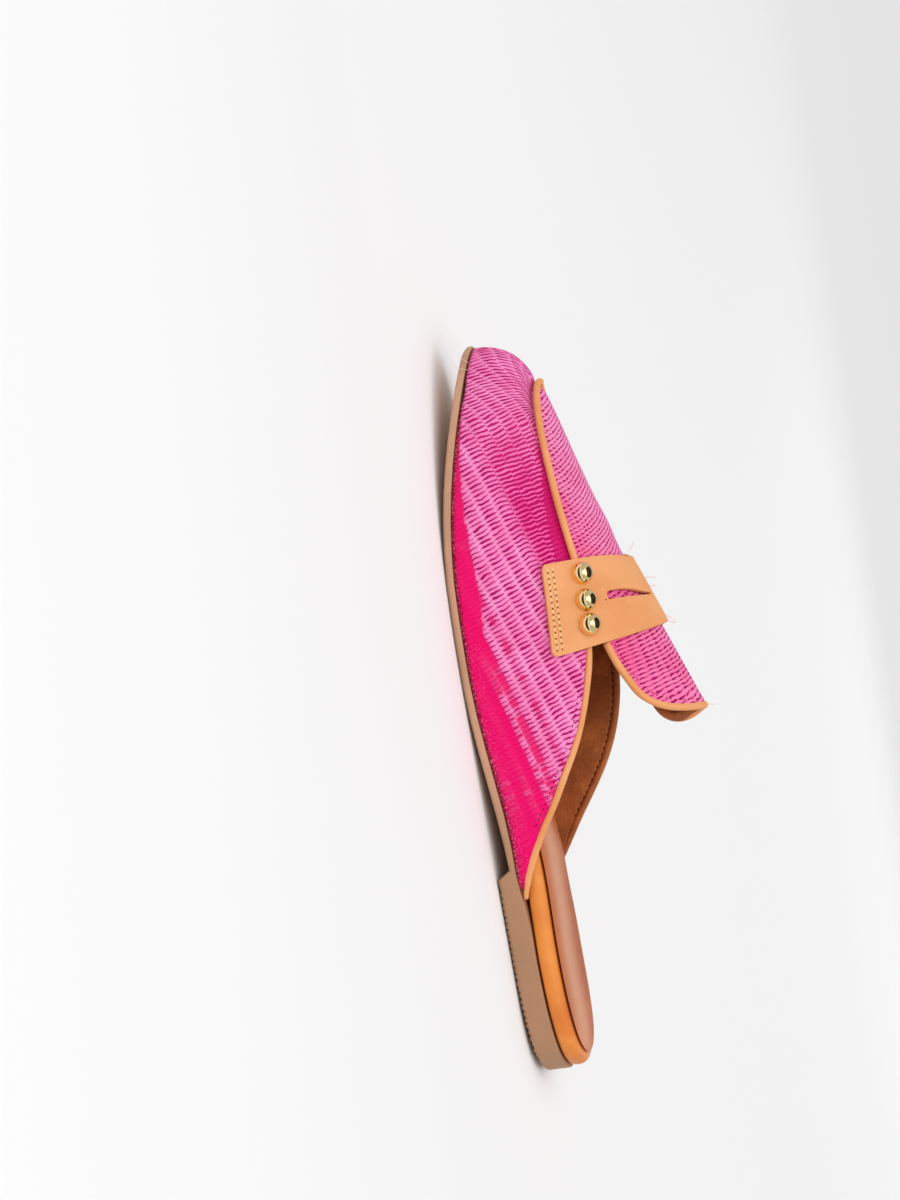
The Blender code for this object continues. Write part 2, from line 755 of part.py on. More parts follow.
def flat_strap(lengths):
    """The strap as cut: a flat band with its slot, sliced finely enough to bend."""
    curve = bpy.data.curves.new("strap_pattern", "CURVE")
    curve.dimensions = "2D"
    curve.fill_mode = "BOTH"
    curve.extrude = STRAP_THICKNESS / 2 * MM
    for outline in (strap_outline(lengths[0], lengths[-1]), slot_outline()):
        spline = curve.splines.new("POLY")
        spline.points.add(len(outline) - 1)
        spline.use_cyclic_u = True
        for control, (x, y) in zip(spline.points, outline):
            control.co = (x * MM, y * MM, 0.0, 1.0)
    pattern = bpy.data.objects.new("strap_pattern", curve)
    bpy.context.scene.collection.objects.link(pattern)
    graph = bpy.context.evaluated_depsgraph_get()
    data = bpy.data.meshes.new_from_object(pattern.evaluated_get(graph))
    bpy.data.objects.remove(pattern)

    band = bmesh.new()
    band.from_mesh(data)
    bmesh.ops.remove_doubles(band, verts=band.verts, dist=1e-6)
    bmesh.ops.dissolve_limit(band, angle_limit=0.02, verts=band.verts, edges=band.edges)
    across = [(0.0, y * MM) for y in (-8.0, 5.0)]
    along_band = [(x * MM, 0.0) for x in np.arange(lengths[0] + 3.0, lengths[-1] - 2.0, 4.2)]
    for x, y in across + along_band:
        every = band.verts[:] + band.edges[:] + band.faces[:]
        facing = (1, 0, 0) if x else (0, 1, 0)
        bmesh.ops.bisect_plane(band, geom=every, plane_co=(x, y, 0), plane_no=facing)
    band.to_mesh(data)
    band.free()
    return data


def build_strap(parts, leather):
    lengths = strap_centre_line()[2]
    data = flat_strap(lengths)
    flat = np.array([vertex.co for vertex in data.vertices]) / MM
    flat[:, 2] += STRAP_THICKNESS / 2 + STRAP_LIFT
    data.vertices.foreach_set("co", metres(wrapped(flat)).ravel())
    data.name = "saddle_strap"
    return add_object("saddle_strap", data, leather, parts, 40)


def stud_mesh():
    """A polished dome on a thin rim, as half a profile to be turned."""
    rim, dome = STUD_DIAMETER / 2, STUD_DIAMETER / 2 - 0.3
    turns = np.radians(np.linspace(90, 5, 7))
    profile = [(dome * math.cos(t), 0.5 + (STUD_HEIGHT - 0.5) * math.sin(t)) for t in turns]
    profile[0] = (0.0, STUD_HEIGHT)
    profile += [(rim, 0.45), (rim, 0.0), (0.0, 0.0)]
    data = bpy.data.meshes.new("stud")
    points = [(x * MM, 0.0, z * MM) for x, z in profile]
    data.from_pydata(points, [(i, i + 1) for i in range(len(points) - 1)], [])
    return data


def build_studs(parts, gold):
    lengths = strap_centre_line()[2]
    seat = STRAP_LIFT + STRAP_THICKNESS + GAP
    shape = stud_mesh()
    shape.materials.append(gold)
    for name, end, inwards in (("lateral", lengths[0], 1), ("medial", lengths[-1], -1)):
        for i in range(3):
            place = (end + inwards * STUD_FROM_END, (1 - i) * STUD_PITCH)
            low, high = wrapped(np.array([[*place, seat], [*place, seat + 1.0]]))
            stud = bpy.data.objects.new(f"stud_{name}_{i + 1}", shape)
            parts.objects.link(stud)
            stud.location = metres(low)
            stud.rotation_mode = "QUATERNION"
            stud.rotation_quaternion = mathutils.Vector(high - low).to_track_quat("Z", "Y")
            turned = stud.modifiers.new("turned", "SCREW")
            turned.axis = "Z"
            turned.steps = 18
            turned.render_steps = 18
            turned.use_merge_vertices = True
            turned.merge_threshold = 1e-6
            turned.use_smooth_shade = True


def main():
    clear_scene()
    parts = collection_of(COLLECTION)
    rubber = material("moulded_rubber", (0.43, 0.25, 0.15), 0.6)
    footbed = material("footbed_leather", (0.75, 0.23, 0.04), 0.4)
    sock = material("sock_leather", (0.60, 0.28, 0.16), 0.35)
    trim = material("tan_leather", (0.85, 0.34, 0.09), 0.45)
    woven = material("woven_cloth", (0.85, 0.02, 0.18), 0.75)
    gold = material("polished_gold", (0.95, 0.75, 0.42), 0.12, 1.0)
    build_outsole(parts, rubber)
    build_insole(parts, footbed)
    build_sock(parts, sock)
    build_upper(parts, woven)
    build_bindings(parts, trim)
    build_strap(parts, trim)
    build_studs(parts, gold)


main()
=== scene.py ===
"""Finishes of a flat backless loafer for the left foot: woven straw cloth, tan leather trim,
polished domes, a wrapped footbed and a moulded rubber sole."""

import bpy
import math
from contextlib import contextmanager
from mathutils import Matrix, Vector
from mathutils.bvhtree import BVHTree


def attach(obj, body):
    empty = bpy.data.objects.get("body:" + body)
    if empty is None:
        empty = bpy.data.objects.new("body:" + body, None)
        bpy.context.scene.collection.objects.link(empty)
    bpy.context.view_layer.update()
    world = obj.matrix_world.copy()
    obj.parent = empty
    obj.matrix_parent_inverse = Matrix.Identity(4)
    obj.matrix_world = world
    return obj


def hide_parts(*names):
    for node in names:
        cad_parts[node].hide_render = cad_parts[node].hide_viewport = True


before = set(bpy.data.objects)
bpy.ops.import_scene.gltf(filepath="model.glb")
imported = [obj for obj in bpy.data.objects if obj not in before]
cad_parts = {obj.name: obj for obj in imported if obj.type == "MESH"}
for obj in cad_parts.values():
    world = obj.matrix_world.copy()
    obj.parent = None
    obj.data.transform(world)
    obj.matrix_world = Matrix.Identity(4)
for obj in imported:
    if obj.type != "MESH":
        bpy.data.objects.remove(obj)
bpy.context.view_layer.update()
bpy.ops.object.select_all(action="DESELECT")

# ---------------------------------------------------------------- floor, light and camera
# A pale floor under soft studio light. The camera looks at the outer side of the shoe from a
# little above and is rolled, so that the toe points up in the picture.
MM = 0.001


def paint(red, green, blue):
    """A colour given in the 0 to 255 of a colour chart, as the shaders want it."""
    def linear(part):
        part /= 255
        return part / 12.92 if part <= 0.04045 else ((part + 0.055) / 1.055) ** 2.4
    return (linear(red), linear(green), linear(blue), 1.0)


def linked(name, data):
    """A new object of the scene."""
    made = bpy.data.objects.new(name, data)
    bpy.context.scene.collection.objects.link(made)
    return made


def painted(name, color, roughness, specular=0.5):
    """A plain material of one colour."""
    made = bpy.data.materials.new(name)
    made.use_nodes = True
    sockets = made.node_tree.nodes["Principled BSDF"].inputs
    sockets["Base Color"].default_value = paint(*color)
    sockets["Roughness"].default_value = roughness
    sockets["Specular IOR Level"].default_value = specular
    return made


bpy.ops.mesh.primitive_plane_add(size=40.0, location=(0, 0, -0.0002))
floor = bpy.context.object
floor.name = "floor"
floor.data.materials.append(painted("floor_paint", (244, 243, 243), 0.8, specular=0.1))

world = bpy.data.worlds.new("studio")
world.use_nodes = True
world.node_tree.nodes["Background"].inputs["Color"].default_value = (1.0, 1.0, 1.0, 1.0)
world.node_tree.nodes["Background"].inputs["Strength"].default_value = 0.55
bpy.context.scene.world = world
bpy.context.scene.view_settings.view_transform = "Standard"

SOFT_BOXES = (
    # name, place, aims at, width, height, watts
    ("side_box", (-1.5, 0.25, 0.75), (0.0, 0.02, 0.03), 1.2, 0.9, 5.6),
    ("top_box", (0.25, 0.0, 1.6), (0.0, 0.0, 0.03), 0.9, 1.4, 2.2),
    ("back_box", (1.7, -0.35, 0.5), (0.0, -0.05, 0.02), 0.9, 0.25, 1.0),
)
for name, place, aim, width, height, watts in SOFT_BOXES:
    lamp = bpy.data.lights.new(name, "AREA")
    lamp.shape = "RECTANGLE"
    lamp.size, lamp.size_y, lamp.energy = width, height, watts
    box = linked(name, lamp)
    box.location = place
    box.rotation_euler = (Vector(aim) - Vector(place)).to_track_quat("-Z", "Y").to_euler()

ceiling = bpy.data.lights.new("ceiling", "SUN")
ceiling.energy, ceiling.angle = 1.1, math.radians(80)
glow = linked("ceiling", ceiling)
glow.rotation_euler = Vector((0.4, -0.05, -1.0)).to_track_quat("-Z", "Y").to_euler()

# Dark cards for the polished domes to mirror, as they would the dark of a room.
DARK_CARDS = (
    # name, place, size along the shoe, size the other way
    ("low_card", (-0.125, 0.035, 0.004), 0.5, 0.10),
    ("high_card", (0.0, 0.035, 0.6), 1.0, 0.75),
)
card_paint = painted("card_paint", (20, 14, 10), 0.9)
for name, place, along, over in DARK_CARDS:
    bpy.ops.mesh.primitive_plane_add(size=1.0, location=place)
    card = bpy.context.object
    card.name = name
    card.scale = (over, along, 1.0)
    card.visible_camera = card.visible_diffuse = card.visible_shadow = False
    card.data.materials.append(card_paint)

CAMERA_TARGET = Vector((0.0015, 0.04195, -0.00772))
CAMERA_DISTANCE = 1.241
CAMERA_HEIGHT_DEG = 11.5
CAMERA_ROLL_DEG = 81.18
height, roll = math.radians(CAMERA_HEIGHT_DEG), math.radians(CAMERA_ROLL_DEG)
looking = Vector((math.cos(height), 0.0, -math.sin(height)))
level_right = looking.cross(Vector((0, 0, 1))).normalized()
level_up = level_right.cross(looking)
right = math.cos(roll) * level_right + math.sin(roll) * level_up
up = -math.sin(roll) * level_right + math.cos(roll) * level_up
lens = bpy.data.cameras.new("camera")
lens.lens, lens.sensor_width = 102.1, 36.0
lens.clip_end = 20.0
camera = linked("camera", lens)
turn = Matrix((right, up, -looking)).transposed()
camera.matrix_world = Matrix.Translation(CAMERA_TARGET - looking * CAMERA_DISTANCE) @ turn.to_4x4()
bpy.context.scene.camera = camera

# ---------------------------------------------------------------- outsole
# One moulding of taupe rubber: a thin forepart with a low heel block. Fine ribs run across the
# heel's underside and notch its lower edge.
HEEL_RIB = 2.3 * MM
RIB_DEPTH = 0.55 * MM
RIBBED_UP_TO = 1.9 * MM
HEEL_BACK = -129.0 * MM
HEEL_FRONT = -61.5 * MM
RIM_DROP = 1.1 * MM  # the forepart is this much thinner at its edge, and a little more by the heel
STATION_AT_ORIGIN = 132.5  # distance from the back of the heel to the middle, mm


def eased(share):
    share = min(max(share, 0.0), 1.0)
    return share * share * (3 - 2 * share)


def station_of(point):
    """Distance of a place from the back of the heel, mm."""
    return point.y / MM + STATION_AT_ORIGIN


def rim_drop(station):
    """How much thinner the sole's edge is here than its solid."""
    by_heel = 0.6 * MM * math.exp(-((station - 75.0) / 11.0) ** 2)
    return (RIM_DROP + by_heel) * eased((station - 50.0) / 25.0)


@contextmanager
def editing(piece, chosen="SELECT"):
    """One piece in edit mode, with all of its mesh selected, or none, or as it was."""
    bpy.ops.object.select_all(action="DESELECT")
    bpy.context.view_layer.objects.active = piece
    piece.select_set(True)
    bpy.ops.object.mode_set(mode="EDIT")
    if chosen:
        bpy.ops.mesh.select_all(action=chosen)
    yield
    bpy.ops.object.mode_set(mode="OBJECT")


def worked_copy(node, name, quads=True):
    """A copy of a solid with its facets joined up again, ready to be shaped further."""
    copy = linked(name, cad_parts[node].data.copy())
    copy.data.materials.clear()
    with editing(copy):
        bpy.ops.mesh.customdata_custom_splitnormals_clear()
        bpy.ops.mesh.remove_doubles(threshold=2e-6)
        if quads:
            bpy.ops.mesh.tris_convert_to_quads(
                face_threshold=math.radians(35), shape_threshold=math.radians(60))
    return copy


def smoothed(piece, crease_degrees=None):
    """Rounds a piece off with a subdivision surface, keeping its sharp edges if asked."""
    if crease_degrees:
        with editing(piece, "DESELECT"):
            bpy.ops.mesh.select_mode(type="EDGE")
            bpy.ops.mesh.edges_select_sharp(sharpness=math.radians(crease_degrees))
            bpy.ops.transform.edge_crease(value=1.0)
    rounding = piece.modifiers.new("rounding", "SUBSURF")
    rounding.levels = rounding.render_levels = 2
    bpy.ops.object.modifier_apply(modifier="rounding")
    bpy.ops.object.shade_smooth()


class Nodes:
    """Short calls to add and join the nodes of one material or node group."""

    def __init__(self, tree):
        self.tree = tree

    def add(self, kind, sockets=(), **settings):
        """A new node with its settings and with a value or a link for each named socket."""
        node = self.tree.nodes.new(kind)
        for key, value in settings.items():
            setattr(node, key, value)
        for key, value in dict(sockets).items():
            self.put(value, node.inputs[key])
        return node.outputs

    def put(self, value, socket):
        """Gives a socket a link, a colour of three numbers up to 255, or a plain value."""
        if isinstance(value, bpy.types.NodeSocket):
            self.tree.links.new(value, socket)
        else:
            socket.default_value = paint(*value) if isinstance(value, tuple) else value

    def math(self, kind, first, second=0.0, clamp=False):
        sockets = {0: first, 1: second}
        return self.add("ShaderNodeMath", sockets, operation=kind, use_clamp=clamp)[0]

    def plus(self, first, second, clamp=False):
        return self.math("ADD", first, second, clamp)

    def less(self, first, second):
        return self.math("SUBTRACT", first, second)

    def times(self, first, second):
        return self.math("MULTIPLY", first, second)

    def rest(self, share, clamp=False):
        return self.math("SUBTRACT", 1.0, share, clamp)

    def without(self, value, share):
        """A value less that share of itself."""
        return self.times(value, self.rest(share))

    def mix(self, share, first, second):
        sockets = {0: share, 6: first, 7: second}
        return self.add("ShaderNodeMix", sockets, data_type="RGBA")[2]

    def noise(self, vector, scale, detail=2.0, roughness=0.5):
        sockets = {"Vector": vector, "Scale": scale, "Detail": detail, "Roughness": roughness}
        return self.add("ShaderNodeTexNoise", sockets)["Fac"]

    def span(self, value, low, high, to_low=0.0, to_high=1.0):
        """A value that eases from one number to another between two places."""
        sockets = enumerate((value, low, high, to_low, to_high))
        return self.add("ShaderNodeMapRange", sockets, interpolation_type="SMOOTHSTEP")[0]

    def banded(self, value, bands):
        """The shade of a table of bands, whose places are in hundredths."""
        node = self.tree.nodes.new("ShaderNodeValToRGB")
        while len(node.color_ramp.elements) < len(bands):
            node.color_ramp.elements.new(1.0)
        for element, (place, shade) in zip(node.color_ramp.elements, bands):
            element.position = place / 100
            element.color = (shade, shade, shade, 1.0)
        self.put(value, node.inputs["Fac"])
        return node.outputs["Color"]

    def shade(self, **values):
        """Puts a value or a link on each named socket of the material's own shader."""
        for key, value in values.items():
            self.put(value, self.tree.nodes["Principled BSDF"].inputs[key.replace("_", " ")])

    def bump(self, height, strength, distance):
        sockets = {"Height": height, "Strength": strength, "Distance": distance}
        return self.add("ShaderNodeBump", sockets)["Normal"]

    def group(self, group, **values):
        node = self.tree.nodes.new("ShaderNodeGroup")
        node.node_tree = group
        for key, value in values.items():
            self.put(value, node.inputs[key.replace("_", " ")])
        return node.outputs

    def place(self):
        return self.add("ShaderNodeTexCoord")["Object"]

    def split(self, vector):
        return self.add("ShaderNodeSeparateXYZ", {0: vector})

    def map_of(self, name):
        """Both coordinates of one of the cloth's maps, in hundreds of mm."""
        return self.split(self.add("ShaderNodeUVMap", uv_map=name)[0])[:2]


def new_material(name):
    """A material and the short calls for its nodes."""
    made = bpy.data.materials.new(name)
    made.use_nodes = True
    return made, Nodes(made.node_tree)


def new_group(name, inputs, outputs):
    """An empty node group with named sockets, a value each unless the name says otherwise."""
    kinds = {"Color": "NodeSocketColor", "Vector": "NodeSocketVector"}
    group = bpy.data.node_groups.new(name, "ShaderNodeTree")
    for direction, names in (("INPUT", inputs), ("OUTPUT", outputs)):
        for socket in names:
            kind = kinds.get(socket.split()[-1], "NodeSocketFloat")
            group.interface.new_socket(socket, in_out=direction, socket_type=kind)
    start = group.nodes.new("NodeGroupInput").outputs
    end = group.nodes.new("NodeGroupOutput").inputs
    return group, Nodes(group), start, end


outsole = worked_copy("outsole", "rubber_outsole", quads=False)
cuts = int((HEEL_FRONT - HEEL_BACK) / (HEEL_RIB / 2))
with editing(outsole):
    bpy.ops.mesh.dissolve_limited(angle_limit=math.radians(0.5))
    for i in range(cuts):
        bpy.ops.mesh.select_all(action="SELECT")
        bpy.ops.mesh.bisect(plane_co=(0, HEEL_BACK + i * HEEL_RIB / 2, 0), plane_no=(0, 1, 0))
facings = [vertex.normal.z for vertex in outsole.data.vertices]
for vertex in outsole.data.vertices:
    x, y, z = vertex.co
    step = (y - HEEL_BACK) / (HEEL_RIB / 2)
    on_cut = abs(step - round(step)) < 0.01 and 0 <= round(step) < cuts
    if on_cut and round(step) % 2 and z < RIBBED_UP_TO:
        vertex.co.z += RIB_DEPTH
    if facings[vertex.index] > 0.2:
        vertex.co.z -= rim_drop(station_of(vertex.co))
with editing(outsole):
    bpy.ops.mesh.quads_convert_to_tris()
bpy.ops.object.shade_smooth_by_angle(angle=math.radians(25))

# Fine grain in moulded or tanned surfaces, shared by rubber and leather.
grain_group, g, start, end = new_group("grain", ("Scale", "Vector"), ("Height", "Fleck", "Patch"))
scaled = g.add("ShaderNodeVectorMath", {0: start["Vector"], "Scale": start["Scale"]},
               operation="SCALE")[0]
cells = g.add("ShaderNodeTexVoronoi", {"Vector": scaled, "Scale": 1.0})["Distance"]
fine = g.noise(scaled, 2.3, 3.0)
g.put(g.plus(g.times(cells, 0.6), g.times(fine, 0.7)), end["Height"])
g.put(g.noise(scaled, 1.1, 4.0, roughness=0.7), end["Fleck"])
g.put(g.noise(start["Vector"], 38.0), end["Patch"])

rubber, n = new_material("taupe_rubber")
spot = n.place()
grain = n.group(grain_group, Scale=2600.0, Vector=spot)
x, y, z = n.split(spot)
forepart = n.span(y, -0.075, 0.0)
body_color = n.mix(forepart, (178, 132, 98), (206, 158, 126))
flecked = n.mix(n.span(grain["Fleck"], 0.52, 0.75, 0.0, 0.5), body_color, (196, 160, 132))
worn = n.mix(n.span(grain["Patch"], 0.35, 0.75, 0.0, 0.35), flecked, (146, 110, 86))
# Painted shade along the sole's lower edge: the rubber darkens towards the floor.
low_edge_shade = n.span(z, 0.0003, 0.0022, 0.45, 0.0)
n.shade(Base_Color=n.mix(low_edge_shade, worn, (120, 88, 66)),
        Roughness=n.span(grain["Fleck"], 0.3, 0.8, 0.5, 0.68), Specular_IOR_Level=0.35,
        Normal=n.bump(grain["Height"], 0.35, 0.0002))
outsole.data.materials.append(rubber)
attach(outsole, "root")
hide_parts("outsole")

# ---------------------------------------------------------------- footbed and sock
# A foam footbed wrapped in tan leather with a rolled edge, and over it a smooth sock of paler
# leather, cemented down and pressed into a shallow dish.
leather_group, g, start, end = new_group(
    "leather", ("Base Color", "Deep Color", "Light Color", "Grain", "Vector"),
    ("Color", "Height", "Gloss"))
spots = g.group(grain_group, Scale=start["Grain"], Vector=start["Vector"])
veins = g.add("ShaderNodeTexVoronoi", {"Vector": start["Vector"], "Scale": 900.0},
              feature="DISTANCE_TO_EDGE")["Distance"]
pull = g.noise(start["Vector"], 120.0, 3.0)
tone = g.mix(g.span(spots["Patch"], 0.3, 0.7), start["Base Color"], start["Deep Color"])
tone = g.mix(g.span(spots["Fleck"], 0.55, 0.8, 0.0, 0.4), tone, start["Light Color"])
tone = g.mix(g.span(pull, 0.55, 0.8, 0.0, 0.35), tone, start["Light Color"])
g.put(tone, end["Color"])
creased = g.span(veins, 0.0, 0.09)
g.put(g.plus(g.times(spots["Height"], 0.7), g.times(creased, 0.5)), end["Height"])
g.put(g.span(spots["Fleck"], 0.3, 0.8, 0.0, 0.16), end["Gloss"])


def leather(name, base, deep, light, grain_scale, roughness, bump, coat=0.0):
    """A tanned leather: three tones of one hide, its grain and its gloss."""
    made, n = new_material(name)
    hide = n.group(leather_group, Base_Color=base, Deep_Color=deep, Light_Color=light,
                   Grain=grain_scale, Vector=n.place())
    n.shade(Base_Color=hide["Color"], Roughness=n.plus(hide["Gloss"], roughness),
            Coat_Weight=coat, Coat_Roughness=0.25, Normal=n.bump(hide["Height"], bump, 0.00025))
    return made, n, hide


footbed = worked_copy("insole", "wrapped_footbed")
smoothed(footbed)
footbed_leather = leather("footbed_leather", (236, 142, 48), (220, 118, 34), (246, 166, 84),
                          1700.0, 0.4, 0.3, coat=0.05)[0]
footbed.data.materials.append(footbed_leather)
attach(footbed, "root")
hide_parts("insole")

sock = worked_copy("insole_sock", "sock")
smoothed(sock)
sock_leather, n, hide = leather("sock_leather", (192, 100, 42), (174, 84, 30), (206, 126, 72),
                                2100.0, 0.5, 0.12)
x, y, z = n.split(n.place())
# polished is a painted sheen: a paler band across the sock where its dish catches the light.
polished = n.times(n.span(x, -0.026, -0.010), n.span(x, -0.008, 0.014, 1.0, 0.0))
n.shade(Base_Color=n.mix(n.times(polished, 0.55), hide["Color"], (228, 172, 138)),
        Specular_IOR_Level=0.3)
sock.data.materials.append(sock_leather)
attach(sock, "root")
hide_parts("insole_sock")

# ---------------------------------------------------------------- woven upper
# Straw-like tape woven in columns, hot pink with pale pink bands, stiffened and lined with brown
# leather. On the sides the columns climb towards the throat; on the plug they run lengthwise.
RIDGE_ACROSS = (
    # station, distance to the medial side, mm
    (60.0, 3.5),
    (123.0, 4.5),
    (173.0, 6.0),
    (199.0, 7.0),
    (216.0, 8.0),
    (233.0, 9.3),
    (265.0, 9.8),
)
SEAM_ACROSS = (
    # station, lateral seam, medial seam, mm: between them lies the plug, and behind it the tongue
    (118.0, -20.5, 18.0),
    (128.0, -21.2, 18.9),
    (142.0, -22.6, 21.2),
    (152.0, -23.2, 23.1),
    (159.3, -23.7, 24.9),
    (169.1, -23.0, 26.1),
    (182.8, -21.3, 27.0),
    (198.1, -18.2, 26.4),
    (212.9, -13.1, 24.1),
    (228.0, -6.6, 21.3),
    (237.7, -1.1, 18.4),
    (245.6, 5.5, 13.7),
    (247.6, 9.9, 9.9),
)
EDGE_MIDDLE = (
    # station, middle of the sole's width, mm
    (60.0, -1.5),
    (90.0, -4.7),
    (118.0, -6.0),
    (145.0, -4.0),
    (168.0, -1.2),
    (188.0, 1.0),
    (206.0, 2.7),
    (224.0, 4.7),
    (237.0, 7.8),
    (265.0, 10.0),
)
COLUMN_CLIMB = (
    # distance along the sole's edge from the heel, climb of the columns towards the throat
    (60.0, 0.10),
    (100.0, 0.13),
    (130.0, 0.20),
    (145.0, 0.29),
    (160.0, 0.35),
    (175.0, 0.40),
    (205.0, 0.48),
    (220.0, 0.56),
    (237.0, 0.72),
    (252.0, 0.90),
    (264.0, 0.90),
    (274.0, 0.40),
    (282.0, 0.0),
)
TOE_TURN = 237.0  # from this station the columns fan round the toe
TOE_RADIUS = 27.0
COUNTED_FROM = 100  # the climb is counted from this distance along the edge
RAYS = 28
SIDE_CLOTH, INNER_SIDE_CLOTH, PLUG_CLOTH, LINING = range(4)


def read(table, column, at):
    """A value of a table's column, straight between its rows."""
    for low, high in zip(table, table[1:]):
        if at <= high[0] or high is table[-1]:
            share = min(max((at - low[0]) / (high[0] - low[0]), 0.0), 1.0)
            return low[column] + share * (high[column] - low[column])


climb_by_mm = [0.0]
for mm in range(300):
    climb_by_mm.append(climb_by_mm[-1] + read(COLUMN_CLIMB, 1, mm + 0.5))
climb_by_mm = [climb - climb_by_mm[COUNTED_FROM] for climb in climb_by_mm]


def surface_of(mesh, faces):
    """Some faces of a mesh as a surface that can be asked for its nearest place."""
    return BVHTree.FromPolygons([vertex.co.copy() for vertex in mesh.vertices],
                                [list(face.vertices) for face in faces])


def dropped(surface, x, y):
    """Where something dropped from above the shoe lands on a surface."""
    return surface.ray_cast(Vector((x, y, 0.2)), Vector((0, 0, -1)))[0]


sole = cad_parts["outsole"].data
sole_surface = surface_of(sole, sole.polygons)


def sole_height(point):
    return dropped(sole_surface, point.x, point.y).z


def section_frame(point):
    """The middle of a point's section, its direction in plan, distance along the edge, side."""
    station = station_of(point)
    if station <= TOE_TURN:
        middle = Vector((read(EDGE_MIDDLE, 1, station) * MM, point.y, 0.0))
        side = -1.0 if point.x < middle.x else 1.0
        return middle, Vector((side, 0.0, 0.0)), station, side
    middle = Vector((read(EDGE_MIDDLE, 1, TOE_TURN), TOE_TURN - STATION_AT_ORIGIN, 0.0)) * MM
    way = Vector((point.x - middle.x, point.y - middle.y, 0.0)).normalized()
    side = -1.0 if way.x < 0 else 1.0
    turned = math.atan2(way.y, abs(way.x))
    return middle, way, TOE_TURN + turned * TOE_RADIUS, side


upper = worked_copy("upper", "woven_upper")
mesh = upper.data
points = [vertex.co.copy() for vertex in mesh.vertices]
whole_shell = surface_of(mesh, mesh.polygons)
THICKEST_WALL = 3.4 * MM
is_outer = set()
for face in mesh.polygons:
    through = whole_shell.ray_cast(face.center - face.normal * 0.1 * MM, -face.normal)[3]
    middle, way, distance, side = section_frame(face.center)
    outwards = face.center - middle - Vector((0, 0, sole_height(middle) + 4 * MM))
    if through and through < THICKEST_WALL and outwards.dot(face.normal) > 0:
        is_outer.add(face.index)
outer_face = surface_of(mesh, [mesh.polygons[i] for i in is_outer])


def height_on_wall(point):
    """The length up the outer wall from the sole's edge to a point, in its own section."""
    middle, way, distance, side = section_frame(point)
    start = Vector((middle.x, middle.y, sole_height(middle) + 1.0 * MM))
    reach = (point - start).dot(way)
    rise = math.atan2(point.z - start.z, max(reach, 1e-6))
    if rise <= 0:
        return max(0.0, point.z - start.z + 1.0 * MM)
    total, last = 1.0 * MM, None
    for i in range(RAYS + 1):
        angle = rise * i / RAYS
        ray = way * math.cos(angle) + Vector((0, 0, math.sin(angle)))
        hit = outer_face.ray_cast(start, ray)[0] if i < RAYS else point
        if hit is None:
            continue
        if last is not None:
            total += (hit - last).length
        last = hit
    return total


seam_points = []
for station in range(152, 248, 2):
    for column in (1, 2):
        hit = dropped(outer_face, read(SEAM_ACROSS, column, station) * MM,
                      (station - STATION_AT_ORIGIN) * MM)
        if hit:
            seam_points.append(hit)

# Two maps, in units of 100 mm: along and across the weave; above the sole and away from the seam.
while mesh.uv_layers:
    mesh.uv_layers.remove(mesh.uv_layers[0])
for name in ("weave", "edges"):
    mesh.uv_layers.new(name=name)
weave_map, edge_map = (mesh.uv_layers[name].data for name in ("weave", "edges"))
TONGUE_STATION, TONGUE_LEVEL, PLUG_TIP = 122.0, 52 * MM, 247.6
PLUG_ALONG, PLUG_ACROSS = 0.0105, 0.0112  # the plug's weave is drawn out a little
walls = {}
for face in mesh.polygons:
    station = station_of(face.center)
    across = face.center.x / MM
    on_plug = read(SEAM_ACROSS, 1, station) < across < read(SEAM_ACROSS, 2, station)
    on_plug = on_plug and (station > TONGUE_STATION or face.center.z > TONGUE_LEVEL)
    on_plug = on_plug and station < PLUG_TIP
    if face.index not in is_outer:
        face.material_index = LINING
    elif on_plug:
        face.material_index = PLUG_CLOTH
    else:
        lateral = section_frame(face.center)[3] < 0
        face.material_index = SIDE_CLOTH if lateral else INNER_SIDE_CLOTH
    for loop in face.loop_indices:
        key = mesh.loops[loop].vertex_index
        place = points[key]
        at = station_of(place)
        if on_plug:
            off_ridge = place.x / MM - read(RIDGE_ACROSS, 1, at)
            weave_map[loop].uv = (at * PLUG_ALONG, off_ridge * PLUG_ACROSS + 0.5)
            edge_map[loop].uv = (0.5, 0.5)
            continue
        if key not in walls:
            nearest = min((place - seam).length for seam in seam_points)
            walls[key] = (height_on_wall(place) / MM, nearest / MM)
        distance = section_frame(place)[2]
        low = int(distance)
        climb = climb_by_mm[low] + (distance - low) * (climb_by_mm[low + 1] - climb_by_mm[low])
        weave_map[loop].uv = (distance / 100, (walls[key][0] + climb) / 100)
        edge_map[loop].uv = (walls[key][0] / 100, walls[key][1] / 100)

# What the solid leaves out: the edge comes down to the thinner rim and tucks in, the toe is
# fuller, the quarters' ends run out to a point, and the tongue's medial half reaches further back.
TONGUE_REACH = 7.5 * MM


def quarter_lift(station):
    """How much higher the top edge runs near the end of the quarters."""
    return 0.5 * MM * eased((station - 66.0) / 8.0) * (1 - eased((station - 76.0) / 14.0))


def tongue_reach(point):
    """How far the medial half of the tongue's end is drawn back."""
    station = station_of(point)
    off_ridge = point.x / MM - 4.8
    on_tongue = eased((point.z / MM - 45.0) / 5.0) * (1 - eased((station - 126.0) / 16.0))
    return TONGUE_REACH * on_tongue * eased(off_ridge / 10.0)


